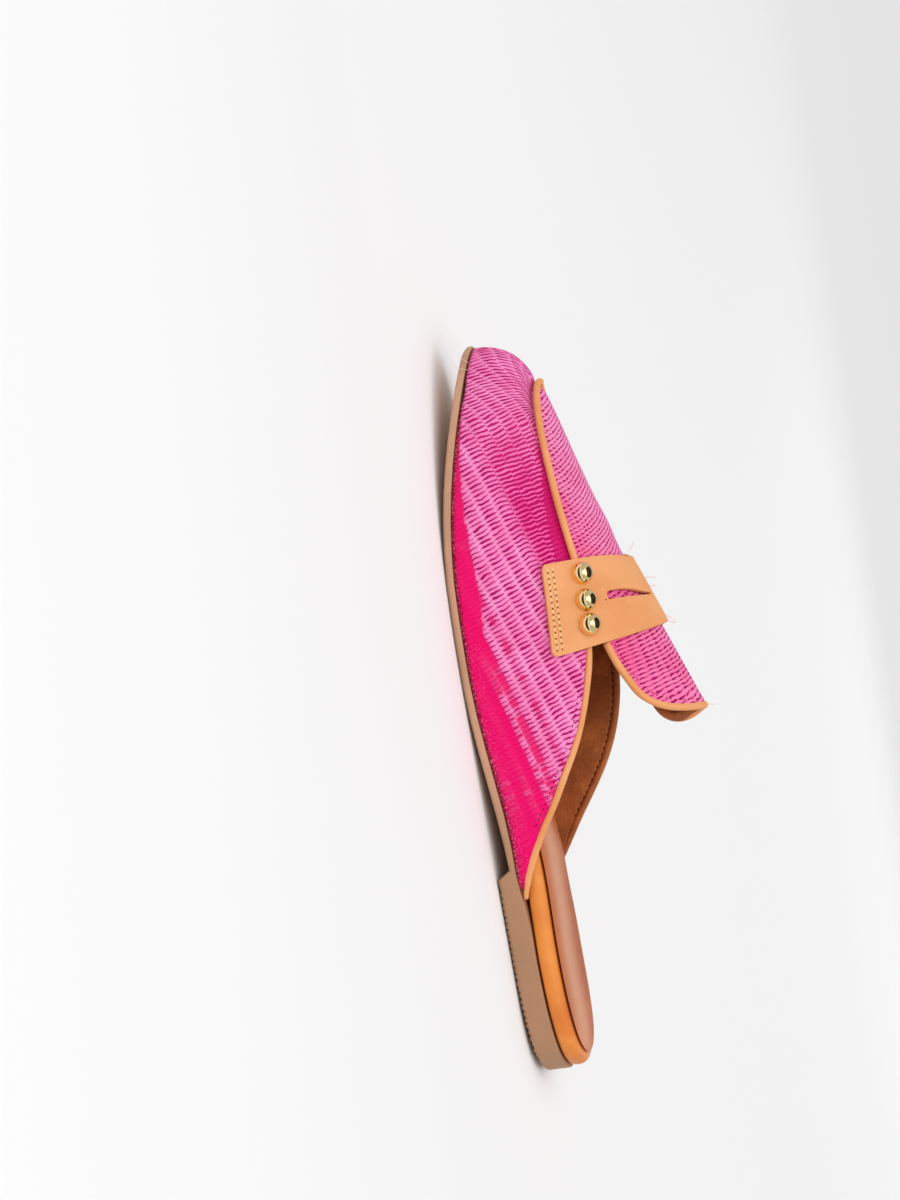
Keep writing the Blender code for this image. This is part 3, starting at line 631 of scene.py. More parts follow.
LOW_EDGE, EDGE_TUCK = 2.6, 0.6 * MM
QUARTER_REACH = 8.5  # how far the quarters' tips are drawn back, mm
TOE_FULLER = 0.75 * MM
for vertex in mesh.vertices:
    place = points[vertex.index]
    station = station_of(place)
    middle, way, distance, side = section_frame(place)
    above = (place.z - sole_height(middle)) / MM
    wall, from_seam = walls.get(vertex.index, (50.0, 50.0))
    if above < LOW_EDGE:
        low = 1 - eased(above / LOW_EDGE)
        vertex.co -= (way * EDGE_TUCK + Vector((0, 0, rim_drop(station)))) * low
    if station < 92.0:
        vertex.co.z += quarter_lift(station) * eased(above / max(0.5, 0.4 * (station - 58.0)))
        drawn_out = 1 - eased((station - 77.5) / 13.0)
        drop = 0.4 * max(above, 0.0)
        vertex.co -= Vector((side * 1.1, QUARTER_REACH, drop)) * MM * drawn_out
    if distance > 230.0 and vertex.index in walls:
        full = eased((distance - 236.0) / 16.0) * eased((wall - 6.0) / 9.0)
        full *= eased((from_seam - 1) / 7.0)
        vertex.co += (way + Vector((0, 0, 1))) * TOE_FULLER * full
    vertex.co.y -= tongue_reach(place)

# Soft troughs and ridges where the shell is pulled over the last and was flexed at the throat.
CREASES = (
    # station, height on the wall, length, width, direction in degrees, side, depth, mm
    (146.0, 34.0, 26.0, 9.0, 62.0, SIDE_CLOTH, 0.45),
    (128.0, 27.0, 30.0, 10.0, 48.0, SIDE_CLOTH, -0.4),
    (165.0, 12.0, 34.0, 12.0, 12.0, SIDE_CLOTH, 0.35),
    (205.0, 17.0, 30.0, 10.0, -14.0, SIDE_CLOTH, -0.3),
    (112.0, 16.0, 26.0, 9.0, 24.0, SIDE_CLOTH, 0.4),
    (236.0, 12.0, 18.0, 8.0, 40.0, SIDE_CLOTH, 0.3),
    (140.0, 33.0, 28.0, 10.0, 58.0, INNER_SIDE_CLOTH, 0.45),
    (118.0, 25.0, 26.0, 10.0, 42.0, INNER_SIDE_CLOTH, -0.4),
    (188.0, 16.0, 32.0, 11.0, 8.0, INNER_SIDE_CLOTH, 0.35),
    (228.0, 13.0, 20.0, 9.0, -30.0, INNER_SIDE_CLOTH, -0.3),
)


def edge_chain(shell, wanted):
    """Ordered edge of the faces of some materials: (point, normal, inwards) for each vertex."""
    uses, normal_at, inner_at = {}, {}, {}
    for face in shell.polygons:
        if face.material_index not in wanted:
            continue
        for pair in face.edge_keys:
            uses.setdefault(pair, []).append(face)
    steps = {}
    for (a, b), faces in uses.items():
        if len(faces) == 1:
            for here, there in ((a, b), (b, a)):
                steps.setdefault(here, []).append(there)
                normal_at[here] = normal_at.get(here, Vector()) + faces[0].normal
                inner_at[here] = inner_at.get(here, Vector()) + faces[0].center
    chain, here = [], min(steps, key=lambda i: shell.vertices[i].co.y)
    while here is not None:
        chain.append(here)
        here = next((i for i in steps[here] if i not in chain[-2:] and i != chain[0]), None)
        if len(chain) > len(steps):
            break
    ordered = []
    for i, here in enumerate(chain):
        place = shell.vertices[here].co
        along = shell.vertices[chain[(i + 1) % len(chain)]].co - shell.vertices[chain[i - 1]].co
        normal = normal_at[here].normalized()
        inwards = normal.cross(along.normalized())
        if inwards.dot(inner_at[here] / 2 - place) < 0:
            inwards = -inwards
        ordered.append((place.copy(), normal, inwards))
    return ordered


def above_sole(point):
    return point.z - sole_height(section_frame(point)[0])


# The cut edge of the shell reaches this far into the bindings, further round the thick tongue.
CLOTHS = (SIDE_CLOTH, INNER_SIDE_CLOTH, PLUG_CLOTH)
UNDER_COLLAR, UNDER_TONGUE = 0.65 * MM, 1.43 * MM
TONGUE_FROM, CLEAR_OF_SOLE, BY_EDGE = 50 * MM, 3.0 * MM, 2.4 * MM
tucked = {}
for place, normal, inwards in edge_chain(mesh, CLOTHS):
    reach = UNDER_TONGUE if place.z > TONGUE_FROM else UNDER_COLLAR
    if above_sole(place) > CLEAR_OF_SOLE:
        for vertex in mesh.vertices:
            if (vertex.co - place).length < BY_EDGE and vertex.index not in tucked:
                tucked[vertex.index] = -inwards.normalized() * reach
for index, shift in tucked.items():
    mesh.vertices[index].co += shift
cloth_edge = edge_chain(mesh, CLOTHS)
lining_edge = edge_chain(mesh, (LINING,))
smoothed(upper, crease_degrees=66)
mesh = upper.data
weave_map, edge_map = (mesh.uv_layers[name].data for name in ("weave", "edges"))
place_at = {}
for face in mesh.polygons:
    if face.material_index in (SIDE_CLOTH, INNER_SIDE_CLOTH):
        for loop in face.loop_indices:
            along, wall = weave_map[loop].uv[0] * 100, edge_map[loop].uv[0] * 100
            place_at[mesh.loops[loop].vertex_index] = (along, wall, face.material_index)
normals = [vertex.normal.copy() for vertex in mesh.vertices]
for index, (station, wall, side) in place_at.items():
    shift = 0.0
    for at, height_on, length, width, degrees, which, depth in CREASES:
        if which == side:
            turn = math.radians(degrees)
            du, dv = station - at, wall - height_on
            along = du * math.cos(turn) - dv * math.sin(turn)
            over = du * math.sin(turn) + dv * math.cos(turn)
            shift -= depth * math.exp(-(along / length * 2) ** 2 - (over / width * 2) ** 2)
    mesh.vertices[index].co += normals[index] * shift * MM

# The weave: columns of tape with a slit-like dark gap between each pair of crossings.
weave_group, g, start, end = new_group(
    "straw weave",
    ("Along", "Across", "Column", "Pitch", "Slant", "Gap", "Reach", "Unevenness", "Vector"),
    ("Gap Mask", "Rim Mask", "Border Mask", "Height", "Tail", "Crown", "Chance"))
wander = g.noise(start["Vector"], 300.0)
uneven = g.times(g.less(wander, 0.5), start["Unevenness"])
columns = g.math("DIVIDE", g.plus(start["Across"], g.times(uneven, 0.6)), start["Column"])
number = g.math("FLOOR", columns)
within = g.math("FRACT", columns)
odd = g.math("FLOORED_MODULO", number, 2.0)
rows = g.math("DIVIDE", g.plus(start["Along"], uneven), start["Pitch"])
rows = g.plus(rows, g.times(odd, 0.5))
rows = g.plus(rows, g.times(within, start["Slant"]))
cell = g.add("ShaderNodeCombineXYZ", {0: number, 1: g.math("FLOOR", rows)})[0]
chance = g.add("ShaderNodeTexWhiteNoise", {"Vector": cell}, noise_dimensions="2D")["Value"]
from_gap = g.math("ABSOLUTE", g.less(g.math("FRACT", rows), 0.5))
from_gap = g.times(from_gap, 2.0)
head = g.span(within, 0.10, 0.26)
reached = g.plus(start["Reach"], g.times(g.less(chance, 0.5), 0.3))
tail = g.math("DIVIDE", within, reached)
taper = g.times(head, g.rest(g.math("POWER", tail, 2.2), clamp=True))
opening = g.times(taper, g.times(start["Gap"], g.span(chance, 0.0, 1.0, 0.6, 1.25)))
gap = g.span(g.less(opening, from_gap), -0.12, 0.14)
rim = g.span(g.less(g.plus(opening, 0.25), from_gap), -0.12, 0.28)
border = g.span(g.math("ABSOLUTE", g.less(within, 0.5)), 0.33, 0.49)
crown = g.rest(g.math("POWER", g.rest(from_gap), 2.0))
g.put(crown, end["Crown"])
g.put(chance, end["Chance"])
crown = g.without(crown, g.times(border, 0.4))
g.put(gap, end["Gap Mask"])
g.put(rim, end["Rim Mask"])
g.put(border, end["Border Mask"])
g.put(g.less(crown, g.times(gap, 0.6)), end["Height"])
g.put(tail, end["Tail"])

# How pale the tape is across the columns of a side, from the sole at the quarter's end to the toe.
OUTER_SIDE_BANDS = (
    # distance across, paleness
    (0.0, 0.35),
    (4.6, 0.28),
    (5.6, 0.04),
    (8.6, 0.06),
    (9.3, 0.38),
    (11.0, 0.34),
    (11.9, 0.06),
    (14.4, 0.02),
    (15.3, 0.60),
    (17.0, 0.60),
    (17.8, 0.32),
    (20.0, 0.28),
    (20.9, 0.95),
    (24.6, 0.85),
    (25.2, 0.45),
    (26.4, 0.50),
    (27.2, 1.00),
    (46.8, 1.00),
    (60.0, 0.95),
    (100.0, 0.95),
)
INNER_SIDE_BANDS = (
    # distance across, paleness
    (0.0, 0.05),
    (9.0, 0.03),
    (15.2, 0.02),
    (15.9, 0.75),
    (19.6, 0.75),
    (20.4, 0.04),
    (25.5, 0.04),
    (26.4, 0.90),
    (32.6, 0.95),
    (33.4, 0.45),
    (34.4, 0.45),
    (35.0, 1.00),
    (45.8, 1.00),
    (46.8, 0.50),
    (47.6, 0.50),
    (48.4, 1.00),
    (57.8, 0.95),
    (58.8, 0.10),
    (63.5, 0.06),
    (64.4, 0.70),
    (67.6, 0.70),
    (68.6, 0.06),
    (78.0, 0.04),
    (80.0, 0.30),
    (100.0, 0.30),
)
BAND_ENDS = (
    # where the pale bands give way to hot pink: across and along, each from, to and how much
    ((14.6, 15.8, 1.0, 0.0), (132.0, 160.0, 0.0, 1.0)),
    ((8.8, 9.8, 0.8, 0.0), (90.0, 122.0, 0.0, 1.0)),
    ((12.0, 20.0, 0.85, 0.0), (88.0, 112.0, 1.0, 0.0)),
)
FIRST_COLUMN = 5.15  # the first column begins this far above the sole, mm
SIDE_COLUMN, TAPE_PITCH = 5.95, 1.6  # the width of a column and the step between two slits, mm
HOT, DEEP_HOT, MID_PINK = (238, 0, 104), (206, 0, 92), (236, 44, 146)
PALE, PALE_HIGHLIGHT, DARK_GAP = (246, 124, 190), (254, 172, 218), (164, 10, 98)


def finish_cloth(n, spot, weave, color, relief):
    """Joins a cloth's colour to its shader, with the sheen and the fine streaks of the tape."""
    streaked = n.plus(relief, n.times(n.noise(spot, 3000.0), 0.10))
    n.shade(Base_Color=color, Roughness=n.span(weave["Height"], 0.0, 1.0, 0.8, 0.6),
            Specular_IOR_Level=0.12, Normal=n.bump(streaked, 0.8, 0.0005))


def woven_side(name, bands):
    """The cloth of one side: its weave, its bands of colour and what happens at its edges."""
    cloth, n = new_material(name)
    spot = n.place()
    map_u, map_v = n.map_of("weave")
    edge_u, edge_v = n.map_of("edges")
    along = n.times(map_u, 100.0)
    across = n.less(n.times(map_v, 100.0), FIRST_COLUMN)
    above_sole = n.times(edge_u, 100.0)
    from_seam = n.times(edge_v, 100.0)
    toe = n.span(along, 196.0, 246.0)
    front = n.times(n.span(across, 43.5, 50.5), n.span(along, 218.0, 244.0, 1.0, 0.25))
    weave = n.group(weave_group, Along=along, Across=across, Column=SIDE_COLUMN, Pitch=TAPE_PITCH,
                    Slant=n.span(front, 0.0, 1.0, -1.25, -0.75), Gap=0.4,
                    Reach=n.span(front, 0.0, 1.0, 0.95, 1.5), Unevenness=1.7, Vector=spot)
    drift = n.times(n.less(n.noise(spot, 50.0, 1.0), 0.5), 0.016)
    paleness = n.banded(n.plus(map_v, drift), bands)
    for over, stretch in BAND_ENDS:
        paleness = n.without(paleness, n.times(n.span(across, *over), n.span(along, *stretch)))
    paleness = n.math("MAXIMUM", paleness, n.span(along, 238.0, 250.0, 0.0, 0.8))
    patchy = n.noise(spot, 130.0, 3.0)
    foot_width = n.times(n.span(along, 138.0, 166.0, 0.0, 6.4),
                        n.span(along, 172.0, 240.0, 1.0, 0.0))
    foot_width = n.plus(foot_width, n.times(patchy, 1.6))
    hot_foot = n.span(n.less(above_sole, foot_width), -0.6, 1.0, 0.96, 0.0)
    seam_width = n.times(n.span(along, 175.0, 246.0, 6.6, 0.0), n.span(along, 145.0, 158.0))
    hot_seam = n.span(n.less(n.plus(from_seam, n.times(patchy, 1.6)),
                             seam_width), 0.0, 1.8, 0.95, 0.0)
    paleness = n.without(paleness, hot_foot)
    paleness = n.without(paleness, hot_seam)
    fade = n.span(n.noise(spot, 75.0, 3.0), 0.3, 0.7, -0.25, 0.12)
    paleness = n.plus(paleness, n.times(fade, paleness), clamp=True)
    streak = n.plus(n.times(weave["Chance"], 0.55), n.times(n.noise(spot, 620.0), 0.5))
    strewn = n.span(n.less(paleness, streak), -0.25, 0.15)
    loosely = n.span(paleness, 0.45, 0.85, 0.6, 0.0)
    paleness = n.plus(n.times(strewn, loosely), n.without(paleness, loosely))
    paleness = n.times(paleness, n.span(along, 80.0, 98.0, 0.15, 1.0))
    light_border = n.without(weave["Border Mask"], n.times(front, 0.8))
    # The pale tape is lighter along the column borders, where the tapes meet, and on the crowns of
    # the tape, which is a painted highlight.
    light = n.plus(n.times(light_border, 0.6), n.times(weave["Height"], 0.25), clamp=True)
    pale = n.mix(light, PALE, PALE_HIGHLIGHT)
    ground = n.mix(paleness, HOT, pale)
    rimmed = n.mix(n.times(weave["Rim Mask"], n.span(paleness, 0.0, 0.5, 0.0, 0.75)),
                   ground, MID_PINK)
    gap_color = n.mix(n.span(paleness, 0.0, 0.6), DEEP_HOT,
                      n.mix(n.span(weave["Tail"], 0.2, 0.8), DARK_GAP, (206, 16, 118)))
    gap_share = n.times(weave["Gap Mask"], n.span(paleness, 0.02, 0.3, 0.12, 0.95))
    woven = n.mix(gap_share, rimmed, gap_color)
    strand_from = n.span(toe, 0.0, 1.0, 0.74, 0.5)
    strand = n.span(n.less(weave["Crown"], strand_from), 0.0, 0.24)
    strand = n.times(strand, n.span(patchy, 0.3, 0.62, 0.45, 1.0))
    strand = n.times(strand, n.span(paleness, 0.0, 0.6, 0.12, 1.0))
    strand_color = n.mix(toe, (248, 96, 172), (252, 146, 200))
    ridged = n.mix(strand, n.mix(toe, (204, 10, 104), (218, 34, 124)), strand_color)
    woven = n.mix(front, woven, ridged)
    speck = n.noise(spot, 1500.0, 3.0, roughness=0.8)
    specked = n.times(n.span(above_sole, 1.0, 9.0, 1.0, 0.0),
                     n.times(n.span(speck, 0.56, 0.64),
                            n.span(along, 150.0, 175.0, 1.0, 0.0)))
    woven = n.mix(n.times(specked, 0.75), woven, (252, 90, 160))
    # Painted shade at the foot of the cloth, where it meets the sole, broken by pale flecks of
    # frayed fibre.
    shade_and_fray_mask = n.span(n.plus(above_sole, n.times(speck, 2.4)), 1.6, 3.2, 1.0, 0.0)
    shade_and_fibre_color = n.mix(n.span(speck, 0.52, 0.6), (140, 0, 52), (238, 150, 158))
    woven = n.mix(n.times(shade_and_fray_mask, 0.85), woven, shade_and_fibre_color)
    relief = n.times(weave["Height"], n.span(paleness, 0.0, 0.3, 0.35, 1.0))
    finish_cloth(n, spot, weave, woven, relief)
    return cloth


side_cloth = woven_side("side_cloth", OUTER_SIDE_BANDS)
inner_side_cloth = woven_side("inner_side_cloth", INNER_SIDE_BANDS)

PLUG_BANDS = (
    # distance across from the lateral side, paleness
    (0.0, 0.55),
    (24.0, 0.45),
    (30.0, 0.55),
    (46.0, 0.72),
    (52.0, 0.85),
    (53.5, 0.15),
    (55.0, 0.15),
    (56.0, 0.60),
    (57.4, 0.55),
    (58.2, 0.02),
    (69.0, 0.02),
    (70.0, 0.35),
    (74.0, 0.55),
    (80.0, 0.70),
    (100.0, 0.70),
)
plug_cloth, n = new_material("plug_cloth")
spot = n.place()
map_u, map_v = n.map_of("weave")
along = n.times(map_u, 100.0)
across = n.times(map_v, 100.0)
toeward = n.span(along, 155.0, 200.0)
weave = n.group(weave_group, Along=along, Across=across,
                Column=n.span(toeward, 0.0, 1.0, 3.3, 2.0), Pitch=TAPE_PITCH,
                Slant=n.span(toeward, 0.0, 1.0, -0.5, -0.3),
                Gap=n.span(toeward, 0.0, 1.0, 0.46, 0.5),
                Reach=n.span(toeward, 0.0, 1.0, 0.85, 0.68), Unevenness=1.4, Vector=spot)
paleness = n.banded(map_v, PLUG_BANDS)
paler = n.times(toeward, n.times(paleness, 0.35))
fade = n.span(n.noise(spot, 70.0, 3.0), 0.3, 0.7, -0.2, 0.15)
paleness = n.plus(n.plus(paleness, paler), n.times(fade, paleness), clamp=True)
# The pale tape is lighter on its crowns: a painted highlight.
pale = n.mix(n.times(weave["Height"], 0.6), (246, 122, 184), (255, 176, 214))
ground = n.mix(paleness, HOT, pale)
ground = n.mix(n.times(weave["Rim Mask"], n.span(paleness, 0.05, 0.6, 0.0, 0.6)),
               ground, (238, 50, 140))
gap_share = n.times(weave["Gap Mask"], n.span(paleness, 0.0, 0.4, 0.12, 0.92))
gap_color = n.mix(n.span(paleness, 0.0, 0.6), DEEP_HOT, (172, 18, 100))
finish_cloth(n, spot, weave, n.mix(gap_share, ground, gap_color), weave["Height"])

lining, n, hide = leather("lining_leather", (212, 122, 54), (178, 92, 36), (230, 150, 84),
                          1300.0, 0.46, 0.2)
folds = n.noise(n.place(), 90.0, 3.0, roughness=0.6)
# Painted shade: the lining is darker where it folds.
shaded = n.mix(n.span(folds, 0.42, 0.66, 0.5, 0.0), hide["Color"], (138, 70, 24))
folded = n.plus(hide["Height"], n.times(folds, 2.4))
n.shade(Base_Color=shaded, Normal=n.bump(folded, 0.6, 0.0005))

for cloth in (side_cloth, inner_side_cloth, plug_cloth, lining):
    upper.data.materials.append(cloth)
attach(upper, "root")
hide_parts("upper")

# ---------------------------------------------------------------- bindings and piping
# Strips of tan leather folded over the cut edges of quarters and tongue, and a corded piping
# let into the seam round the plug. The strips thin out where they run under the footbed.
tan_leather = leather("tan_leather", (238, 164, 104), (228, 148, 84), (246, 184, 132),
                      1900.0, 0.42, 0.22)[0]
# How much a strip's surface lies inside its solid's, mm.
COLLAR_THINNER, UNDER_FOOTBED_THINNER, TONGUE_THINNER = 0.15, 0.8, 0.25
INSIDE = Vector((4.0, 0.0, 42.0)) * MM  # the middle of the space for the foot
for node, name in (("collar_binding_lateral", "lateral_collar_binding"),
                   ("collar_binding_medial", "medial_collar_binding"),
                   ("tongue_binding", "tongue_edge_binding"),
                   ("plug_piping", "corded_piping")):
    binding = worked_copy(node, name)
    normals = [vertex.normal.copy() for vertex in binding.data.vertices]
    for vertex, normal in zip(binding.data.vertices, normals):
        station = station_of(vertex.co)
        if node.startswith("collar"):
            forward = eased((station - 62.0) / 11.0)
            thinned = COLLAR_THINNER + UNDER_FOOTBED_THINNER * (1 - forward)
            vertex.co -= normal * thinned * MM
            vertex.co.z += quarter_lift(station) - 1.7 * MM * (1 - eased((station - 65.5) / 8.0))
        elif node == "tongue_binding":
            vertex.co -= normal * TONGUE_THINNER * MM
            vertex.co.y -= tongue_reach(vertex.co)
        else:
            drawn_back = 1 - eased((station - 183.6) / 9.0)
            vertex.co += Vector((-0.3, -4.5, 0.9)) * MM * drawn_back
    smoothed(binding)
    binding.data.materials.append(tan_leather)
    binding.data.materials.append(lining)
    # Faces turned into the shoe take the brown lining leather: painted shade on the inner side of
    # the tan strips.
    for face in binding.data.polygons:
        inside = Vector((INSIDE.x - face.center.x, 0.0, INSIDE.z - face.center.z))
        if node.startswith("collar"):
            inside.z = 0.0
        if node != "plug_piping" and face.normal.dot(inside.normalized()) > 0.3:
            face.material_index = 1
    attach(binding, "root")
    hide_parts(node)

# ---------------------------------------------------------------- needle holes
# The bindings are stitched down right beside their edge, and the lining a little further in.
# The thread is pulled below the surface, so that only a row of small dark holes shows.


def two_toned(name, scale, first, second, roughness, specular=0.5):
    """A plain material that drifts between two close tones."""
    made, n = new_material(name)
    tone = n.mix(n.noise(n.place(), scale), first, second)
    n.shade(Base_Color=tone, Roughness=roughness, Specular_IOR_Level=specular)
    return made


def joined(name, pieces):
    """Several objects made into one piece."""
    bpy.ops.object.select_all(action="DESELECT")
    for piece in pieces:
        piece.select_set(True)
    bpy.context.view_layer.objects.active = pieces[0]
    bpy.ops.object.join()
    bpy.context.object.name = name
    return bpy.context.object


def pricked(name, places, size, finish):
    """One small rounded mark of a size in mm, copied to each place and joined into a piece."""
    bpy.ops.mesh.primitive_uv_sphere_add(segments=8, ring_count=5, radius=0.5)
    first = bpy.context.object
    copies = []
    for place, normal, along in places:
        copy = linked("mark", first.data.copy())
        side = normal.cross(along).normalized()
        turned = Matrix((along.normalized(), side, normal.normalized())).transposed().to_4x4()
        stretched = Matrix.Diagonal((*[part * MM for part in size], 1.0))
        copy.data.transform(Matrix.Translation(place) @ turned @ stretched)
        copies.append(copy)
    bpy.data.objects.remove(first)
    marks = joined(name, copies)
    bpy.ops.object.shade_smooth()
    marks.data.materials.append(finish)
    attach(marks, "root")


hole_dark = two_toned("needle_hole", 900.0, (84, 20, 36), (60, 24, 20), 0.9, specular=0.1)

shell = upper.data
cloth_face = surface_of(shell, [face for face in shell.polygons if face.material_index != LINING])
lining_face = surface_of(shell, [face for face in shell.polygons if face.material_index == LINING])


def behind_strap(point):
    return above_sole(point) > 5 * MM and 86.0 < station_of(point) < 151.5


def beside(edge, pitch, offset, surface):
    """Evenly spaced places for needle holes, set in from an edge and laid on a surface."""
    laid, left = [], pitch
    for here, there in zip(edge, edge[1:]):
        step = (there[0] - here[0]).length
        if step > LONGEST_STEP or not behind_strap(here[0]) or not behind_strap(there[0]):
            left = pitch
            continue
        while left <= step:
            place, normal, inwards = [a.lerp(b, left / step) for a, b in zip(here, there)]
            hit, facing = surface.find_nearest(place + inwards.normalized() * offset)[:2]
            laid.append((hit, facing, (there[0] - here[0]).normalized()))
            left += pitch
        left -= step
    return laid


LONGEST_STEP = 12 * MM  # a longer step between two points of an edge is a jump to another edge
HOLE_ROWS = (
    # name, edge, surface, step, distance from the edge, size of a hole, mm
    ("binding_needle_holes", cloth_edge, cloth_face, 2.1, 1.7, (0.95, 0.42, 0.3)),
    ("lining_needle_holes", lining_edge, lining_face, 2.5, 4.6, (1.1, 0.5, 0.3)),
)
for name, edge, surface, step, offset, size in HOLE_ROWS:
    holes = beside(edge, step * MM, offset * MM, surface)
    pricked(name, holes, size, hole_dark)

# ---------------------------------------------------------------- saddle strap
# A band of thick tan leather over the instep: widest at its ends, narrow over the ridge, with a
# penny slot each side of the ridge that opens into a drop. Two rows of stitches hold each end.
STRAP_THICK = 1.5 * MM
STRAP_SKEW = 2.3  # the lateral end slants by this much over 15 mm
ROUND_CORNER, SLOT_BRIDGE, ROUNDED_RIDGE = 1.7, 3.0, 9.0
LATERAL_REACH, MEDIAL_REACH = 47, 38  # how far the solid's face reaches from the ridge
RIDGE_INDEX = 55  # where the ridge comes in the walk across the strap
STRAP_SETBACK = 2.6 * MM  # how far back the strap runs in 49 mm
STRAP_RIDGE = Vector((6.0, 43.2, 0.0)) * MM
RIDGE_BEFORE_MIDDLE = 8.0
STRAP_SHAPE = (
    # along from the ridge (lateral is negative), rear edge, slot's rear, slot's front, front edge
    (-50.6, -16.0, 0.0, 0.0, 16.6),
    (-44.0, -15.8, 0.0, 0.0, 16.4),
    (-33.0, -15.3, 0.0, 0.0, 16.0),
    (-26.6, -15.1, 0.0, 0.0, 15.6),
    (-26.2, -15.1, -0.8, 2.0, 15.6),
    (-24.0, -15.0, -0.9, 2.3, 15.4),
    (-19.0, -14.9, -1.3, 1.8, 14.9),
    (-14.0, -14.8, -1.9, 0.8, 14.3),
    (-10.0, -14.7, -2.3, -0.4, 13.7),
    (-6.0, -14.6, -2.8, -1.7, 12.9),
    (0.0, -14.5, -3.2, -2.9, 12.1),
    (6.0, -14.6, -3.0, -2.2, 12.9),
    (10.0, -14.7, -2.9, -1.2, 13.8),
    (14.0, -14.8, -2.8, -0.2, 14.4),
    (18.4, -14.9, -2.7, 0.4, 14.8),
    (18.8, -14.9, -2.6, -2.6, 14.8),
    (26.0, -15.0, -2.6, -2.6, 15.0),
    (41.0, -15.6, -2.6, -2.6, 15.4),
)
strap_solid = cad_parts["saddle_strap"].data
strap_face = surface_of(strap_solid, [
    face for face in strap_solid.polygons
    if face.normal.dot((face.center - Vector((0.002, face.center.y, 0.02))).normalized()) > 0.6])


def strap_walk(side, steps):
    """The strap's upper face in steps of 1 mm from the ridge, 8 mm before its middle."""
    place, facing = strap_face.find_nearest(STRAP_RIDGE + Vector((0, 0, 0.06)))[:2]
    walked = [(place, facing)]
    for i in range(1, steps):
        if i > (LATERAL_REACH if side < 0 else MEDIAL_REACH):
            step = walked[-1][0] - walked[-2][0]
            walked.append((walked[-1][0] + step, walked[-1][1]))
            continue
        level = Vector((facing.z, 0.0, -facing.x)).normalized() * side
        target = place + level * MM
        target.y = STRAP_RIDGE.y - STRAP_SETBACK * (i / 49.0) ** 1.5
        hit, facing = strap_face.find_nearest(target)[:2]
        place = target + facing * (hit - target).dot(facing)
        walked.append((place, facing.copy()))
    return walked


walk = strap_walk(-1, RIDGE_INDEX + 1)[::-1] + strap_walk(1, 48)[1:]
walk_places = [place for place, facing in walk]
walk_facings = []
for i in range(len(walk)):
    near = [facing for place, facing in walk[max(0, i - 4):i + 5]]
    walk_facings.append(sum(near, Vector()).normalized())


def on_strap(along, across, height=0.0):
    """A place on the strap, the direction out of it and the direction along it; all from mm."""
    i = min(max(along + RIDGE_INDEX, 0.0), len(walk) - 1.001)
    low, share = int(i), i - int(i)
    place = walk_places[low].lerp(walk_places[low + 1], share)
    facing = walk_facings[low].lerp(walk_facings[low + 1], share).normalized()
    first, last = max(low - 1, 0), min(low + 2, len(walk) - 1)
    run = (walk_places[last] - walk_places[first]).normalized()
    forward = facing.cross(run).normalized()
    if forward.y < 0:
        forward = -forward
    target = place + forward * (across - RIDGE_BEFORE_MIDDLE) * MM
    for _ in range(3):
        hit = strap_face.find_nearest(target)[0]
        target += facing * (hit - target).dot(facing)
    return target + facing * height * MM, facing, run


cut_edge, n = new_material("cut_leather_edge")
fibres = n.noise(n.place(), 1400.0, 3.0)
n.shade(Base_Color=n.mix(n.span(fibres, 0.35, 0.65), (134, 58, 22), (172, 92, 44)), Roughness=0.75)

COLUMNS, ROWS = 112, 12
bpy.ops.mesh.primitive_grid_add(x_subdivisions=COLUMNS, y_subdivisions=ROWS, size=2.0)
strap = bpy.context.object
strap.name = "slotted_saddle_strap"
SLOT_ROW = 6  # rows 0 to 5 lie behind the slot, 7 to 12 before it; row 6 closes it
alongs = [STRAP_SHAPE[0][0] + (STRAP_SHAPE[-1][0] - STRAP_SHAPE[0][0]) * i / COLUMNS
          for i in range(COLUMNS + 1)]
for end_at in (-26.6, -26.2, 18.4, 18.8):
    nearest = min(range(COLUMNS + 1), key=lambda i: abs(alongs[i] - end_at))
    alongs[nearest] = end_at
open_slot, laid = [], {}
for vertex in strap.data.vertices:
    column = round((vertex.co.x + 1) / 2 * COLUMNS)
    row = round((vertex.co.y + 1) / 2 * ROWS)
    along = alongs[column]
    rear, slot_rear, slot_front, front = [read(STRAP_SHAPE, i, along) for i in (1, 2, 3, 4)]
    short_of_round = max(ROUND_CORNER - min(along - alongs[0], alongs[-1] - along), 0.0)
    corner = ROUND_CORNER - math.sqrt(ROUND_CORNER ** 2 - short_of_round ** 2)
    rear, front = rear + corner, front - corner
    if row < SLOT_ROW:
        across = rear + (slot_rear - rear) * row / (SLOT_ROW - 1)
    elif row > SLOT_ROW:
        across = slot_front + (front - slot_front) * (row - SLOT_ROW - 1) / (ROWS - SLOT_ROW - 1)
    else:
        across = (slot_rear + slot_front) / 2
        if -26.4 < along < 18.6 and abs(along) > SLOT_BRIDGE:
            open_slot.append(vertex.index)
    lateral_end = eased((-along - 44.0) / 7.0)
    along -= STRAP_SKEW * lateral_end * (4.0 - across) / 15.0
    vertex.co = on_strap(along, across, -1.2 + 0.6 * eased(1.0 - abs(along) / 7.0))[0]
    laid[column, row] = vertex
for _ in range(10):  # leather rounds the ridge: no sharp fold
    before = {key: vertex.co.copy() for key, vertex in laid.items()}
    for (column, row), vertex in laid.items():
        if abs(alongs[column]) < ROUNDED_RIDGE:
            beside_it = before[column - 1, row] + before[column + 1, row]
            vertex.co = beside_it / 4 + before[column, row] / 2
with editing(strap, "DESELECT"):
    bpy.ops.mesh.select_mode(type="VERT")
for index in open_slot:
    strap.data.vertices[index].select = True
with editing(strap, None):
    bpy.ops.mesh.delete(type="VERT")
    bpy.ops.mesh.select_all(action="SELECT")
    bpy.ops.mesh.remove_doubles(threshold=0.02 * MM)
    bpy.ops.mesh.normals_make_consistent(inside=False)
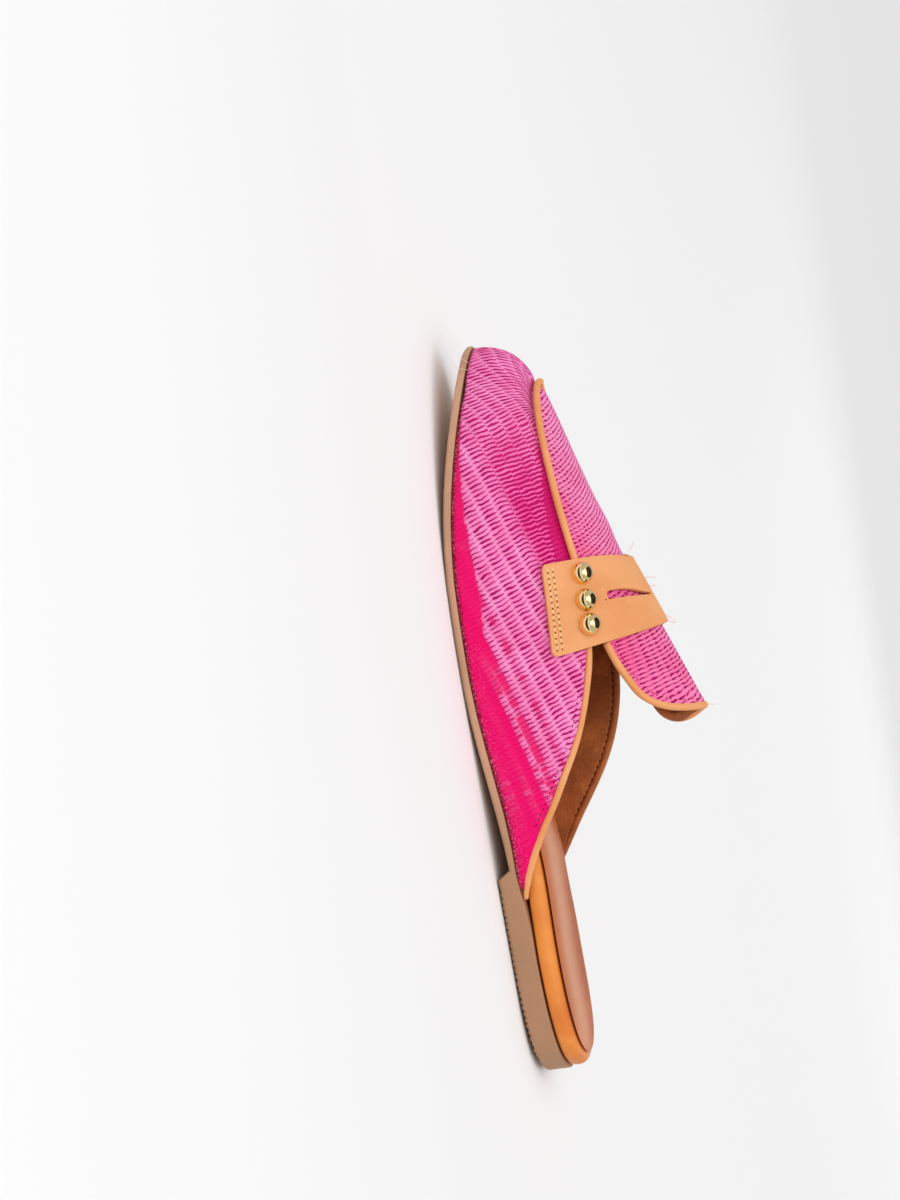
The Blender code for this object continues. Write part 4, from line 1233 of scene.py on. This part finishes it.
if strap.data.polygons[0].normal.z < 0:
    strap.data.flip_normals()
wall = strap.modifiers.new("wall", "SOLIDIFY")
wall.thickness = STRAP_THICK
wall.offset = 1.0
wall.material_offset_rim = 1
bpy.ops.object.modifier_apply(modifier="wall")
soft = strap.modifiers.new("soft", "BEVEL")
soft.width, soft.segments, soft.limit_method = 0.3 * MM, 2, "ANGLE"
soft.angle_limit = math.radians(50)
bpy.ops.object.modifier_apply(modifier="soft")
bpy.ops.object.shade_smooth_by_angle(angle=math.radians(40))
strap.data.materials.append(tan_leather)
strap.data.materials.append(cut_edge)
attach(strap, "root")
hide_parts("saddle_strap")

# Beige thread: each stitch is a short bead between two holes.
thread_beige = two_toned("beige_thread", 1800.0, (252, 216, 160), (234, 184, 122), 0.7)
STITCH, STITCHES, FIRST_STITCH = 2.1, 14, -14.0
STITCH_ROWS = (1.9, 3.9)
thread_places, hole_places = [], []
for end_at, way in ((STRAP_SHAPE[0][0], 1.0), (STRAP_SHAPE[-1][0], -1.0)):
    for row_in in STITCH_ROWS:
        for i in range(STITCHES):
            across = FIRST_STITCH + STITCH * i
            skew = -STRAP_SKEW * (4.0 - across) / 15.0 if way > 0 else 0.0
            spots = [on_strap(end_at + way * row_in + skew, across + part * STITCH, 0.36)
                     for part in (0.0, 0.5)]
            run = (spots[1][0] - spots[0][0]).normalized()
            thread_places.append((spots[1][0], spots[1][1], run))
            hole_places.append((spots[0][0], spots[0][1], run))
hole_places.append(on_strap(-27.8, -0.8, 0.33))  # a lone hole before the slot's end
pricked("strap_stitches", thread_places, (1.55, 0.9, 0.6), thread_beige)
pricked("strap_needle_holes", hole_places, (0.7, 0.55, 0.22), hole_dark)

# ---------------------------------------------------------------- domed studs
# Polished pale-gold domes on a thin rim, three at each end of the strap.
gold, n = new_material("polished_gold")
haze = n.noise(n.place(), 400.0, 2.0)
n.shade(Base_Color=n.mix(n.span(haze, 0.4, 0.7), (250, 226, 170), (244, 212, 150)),
        Metallic=1.0, Roughness=n.span(haze, 0.3, 0.8, 0.06, 0.12))
DOME_RADIUS, RIM_STEP = 3.95 * MM, 0.35 * MM
bpy.ops.mesh.primitive_uv_sphere_add(segments=40, ring_count=24, radius=DOME_RADIUS)
dome = bpy.context.object
with editing(dome):
    bpy.ops.mesh.bisect(plane_co=(0, 0, 0.01 * MM), plane_no=(0, 0, 1), clear_inner=True)
    bpy.ops.mesh.select_all(action="DESELECT")
    bpy.ops.mesh.select_non_manifold()
    bpy.ops.mesh.extrude_region_move(TRANSFORM_OT_translate={"value": (0, 0, -RIM_STEP)})
    bpy.ops.transform.resize(value=(1.05, 1.05, 1.0))
    bpy.ops.mesh.extrude_region_move(TRANSFORM_OT_translate={"value": (0, 0, -RIM_STEP)})
    bpy.ops.mesh.edge_face_add()
    bpy.ops.mesh.select_all(action="SELECT")
    bpy.ops.mesh.normals_make_consistent(inside=False)
bpy.ops.object.shade_smooth_by_angle(angle=math.radians(40))
STUDS = (
    # node, along the strap, across it, mm
    ("stud_lateral_1", -34.4, 10.4),
    ("stud_lateral_2", -36.0, 0.9),
    ("stud_lateral_3", -37.2, -7.8),
    ("stud_medial_1", 25.6, 9.6),
    ("stud_medial_2", 25.6, 0.2),
    ("stud_medial_3", 25.6, -9.2),
)
for node, along, across in STUDS:
    stud = linked(node.replace("stud", "gold_dome"), dome.data.copy())
    place, facing, run = on_strap(along, across, 1.0)
    turned = facing.to_track_quat("Z", "Y").to_matrix().to_4x4()
    stud.data.transform(Matrix.Translation(place) @ turned)
    stud.data.materials.append(gold)
    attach(stud, "root")
    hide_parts(node)
bpy.data.objects.remove(dome)

# ---------------------------------------------------------------- loose threads
# Fibres of the straw tape that stick out where the cloth and the thick leather were cut.
fibre = two_toned("loose_fibre", 500.0, (250, 190, 200), (236, 200, 170), 0.6)
THREADS = (
    # near this place, then the middle and the end of the fibre from its foot, mm
    ((6.0, 41.5, 70.0), (-1.0, 1.4, 2.2), (0.5, -0.4, 4.4)),
    ((5.0, 39.5, 70.0), (0.4, -2.0, 1.8), (-1.0, -1.2, 3.6)),
    ((6.5, 27.0, 74.0), (-0.5, -0.8, 2.8), (1.0, -3.2, 3.8)),
    ((4.0, 26.0, 74.0), (0.6, -2.2, 1.8), (-0.6, -2.6, 4.0)),
    ((6.0, 58.0, 66.0), (0.8, 1.1, 2.2), (-0.8, 3.1, 2.8)),
    ((5.0, -9.0, 78.0), (0.4, -1.4, 1.8), (0.0, -1.0, 3.4)),
    ((-3.0, 128.0, 10.0), (-2.0, 1.0, -1.4), (-2.6, 3.4, -3.0)),
    ((-6.0, 126.0, 10.0), (-2.2, 0.4, -1.6), (-3.2, 1.6, -4.2)),
)
strands = []
for near, middle, last in THREADS:
    near = Vector(near) * MM
    foot = min((surface.find_nearest(near)[0] for surface in (cloth_face, strap_face)),
               key=lambda place: (place - near).length)
    middle, last = foot + Vector(middle) * MM, foot + Vector(last) * MM
    bpy.ops.curve.primitive_nurbs_path_add()
    strand = bpy.context.object
    spline = strand.data.splines[0]
    for point, share in zip(spline.points, (0.0, 0.25, 0.5, 0.75, 1.0)):
        curved = foot.lerp(middle, share).lerp(middle.lerp(last, share), share)
        point.co = (*curved, 1.0)
    strand.data.bevel_depth = 0.1 * MM
    strand.data.bevel_resolution = 1
    strand.data.resolution_u = 4
    bpy.ops.object.convert(target="MESH")
    strands.append(bpy.context.object)
loose = joined("loose_threads", strands)
loose.data.materials.append(fibre)
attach(loose, "root")
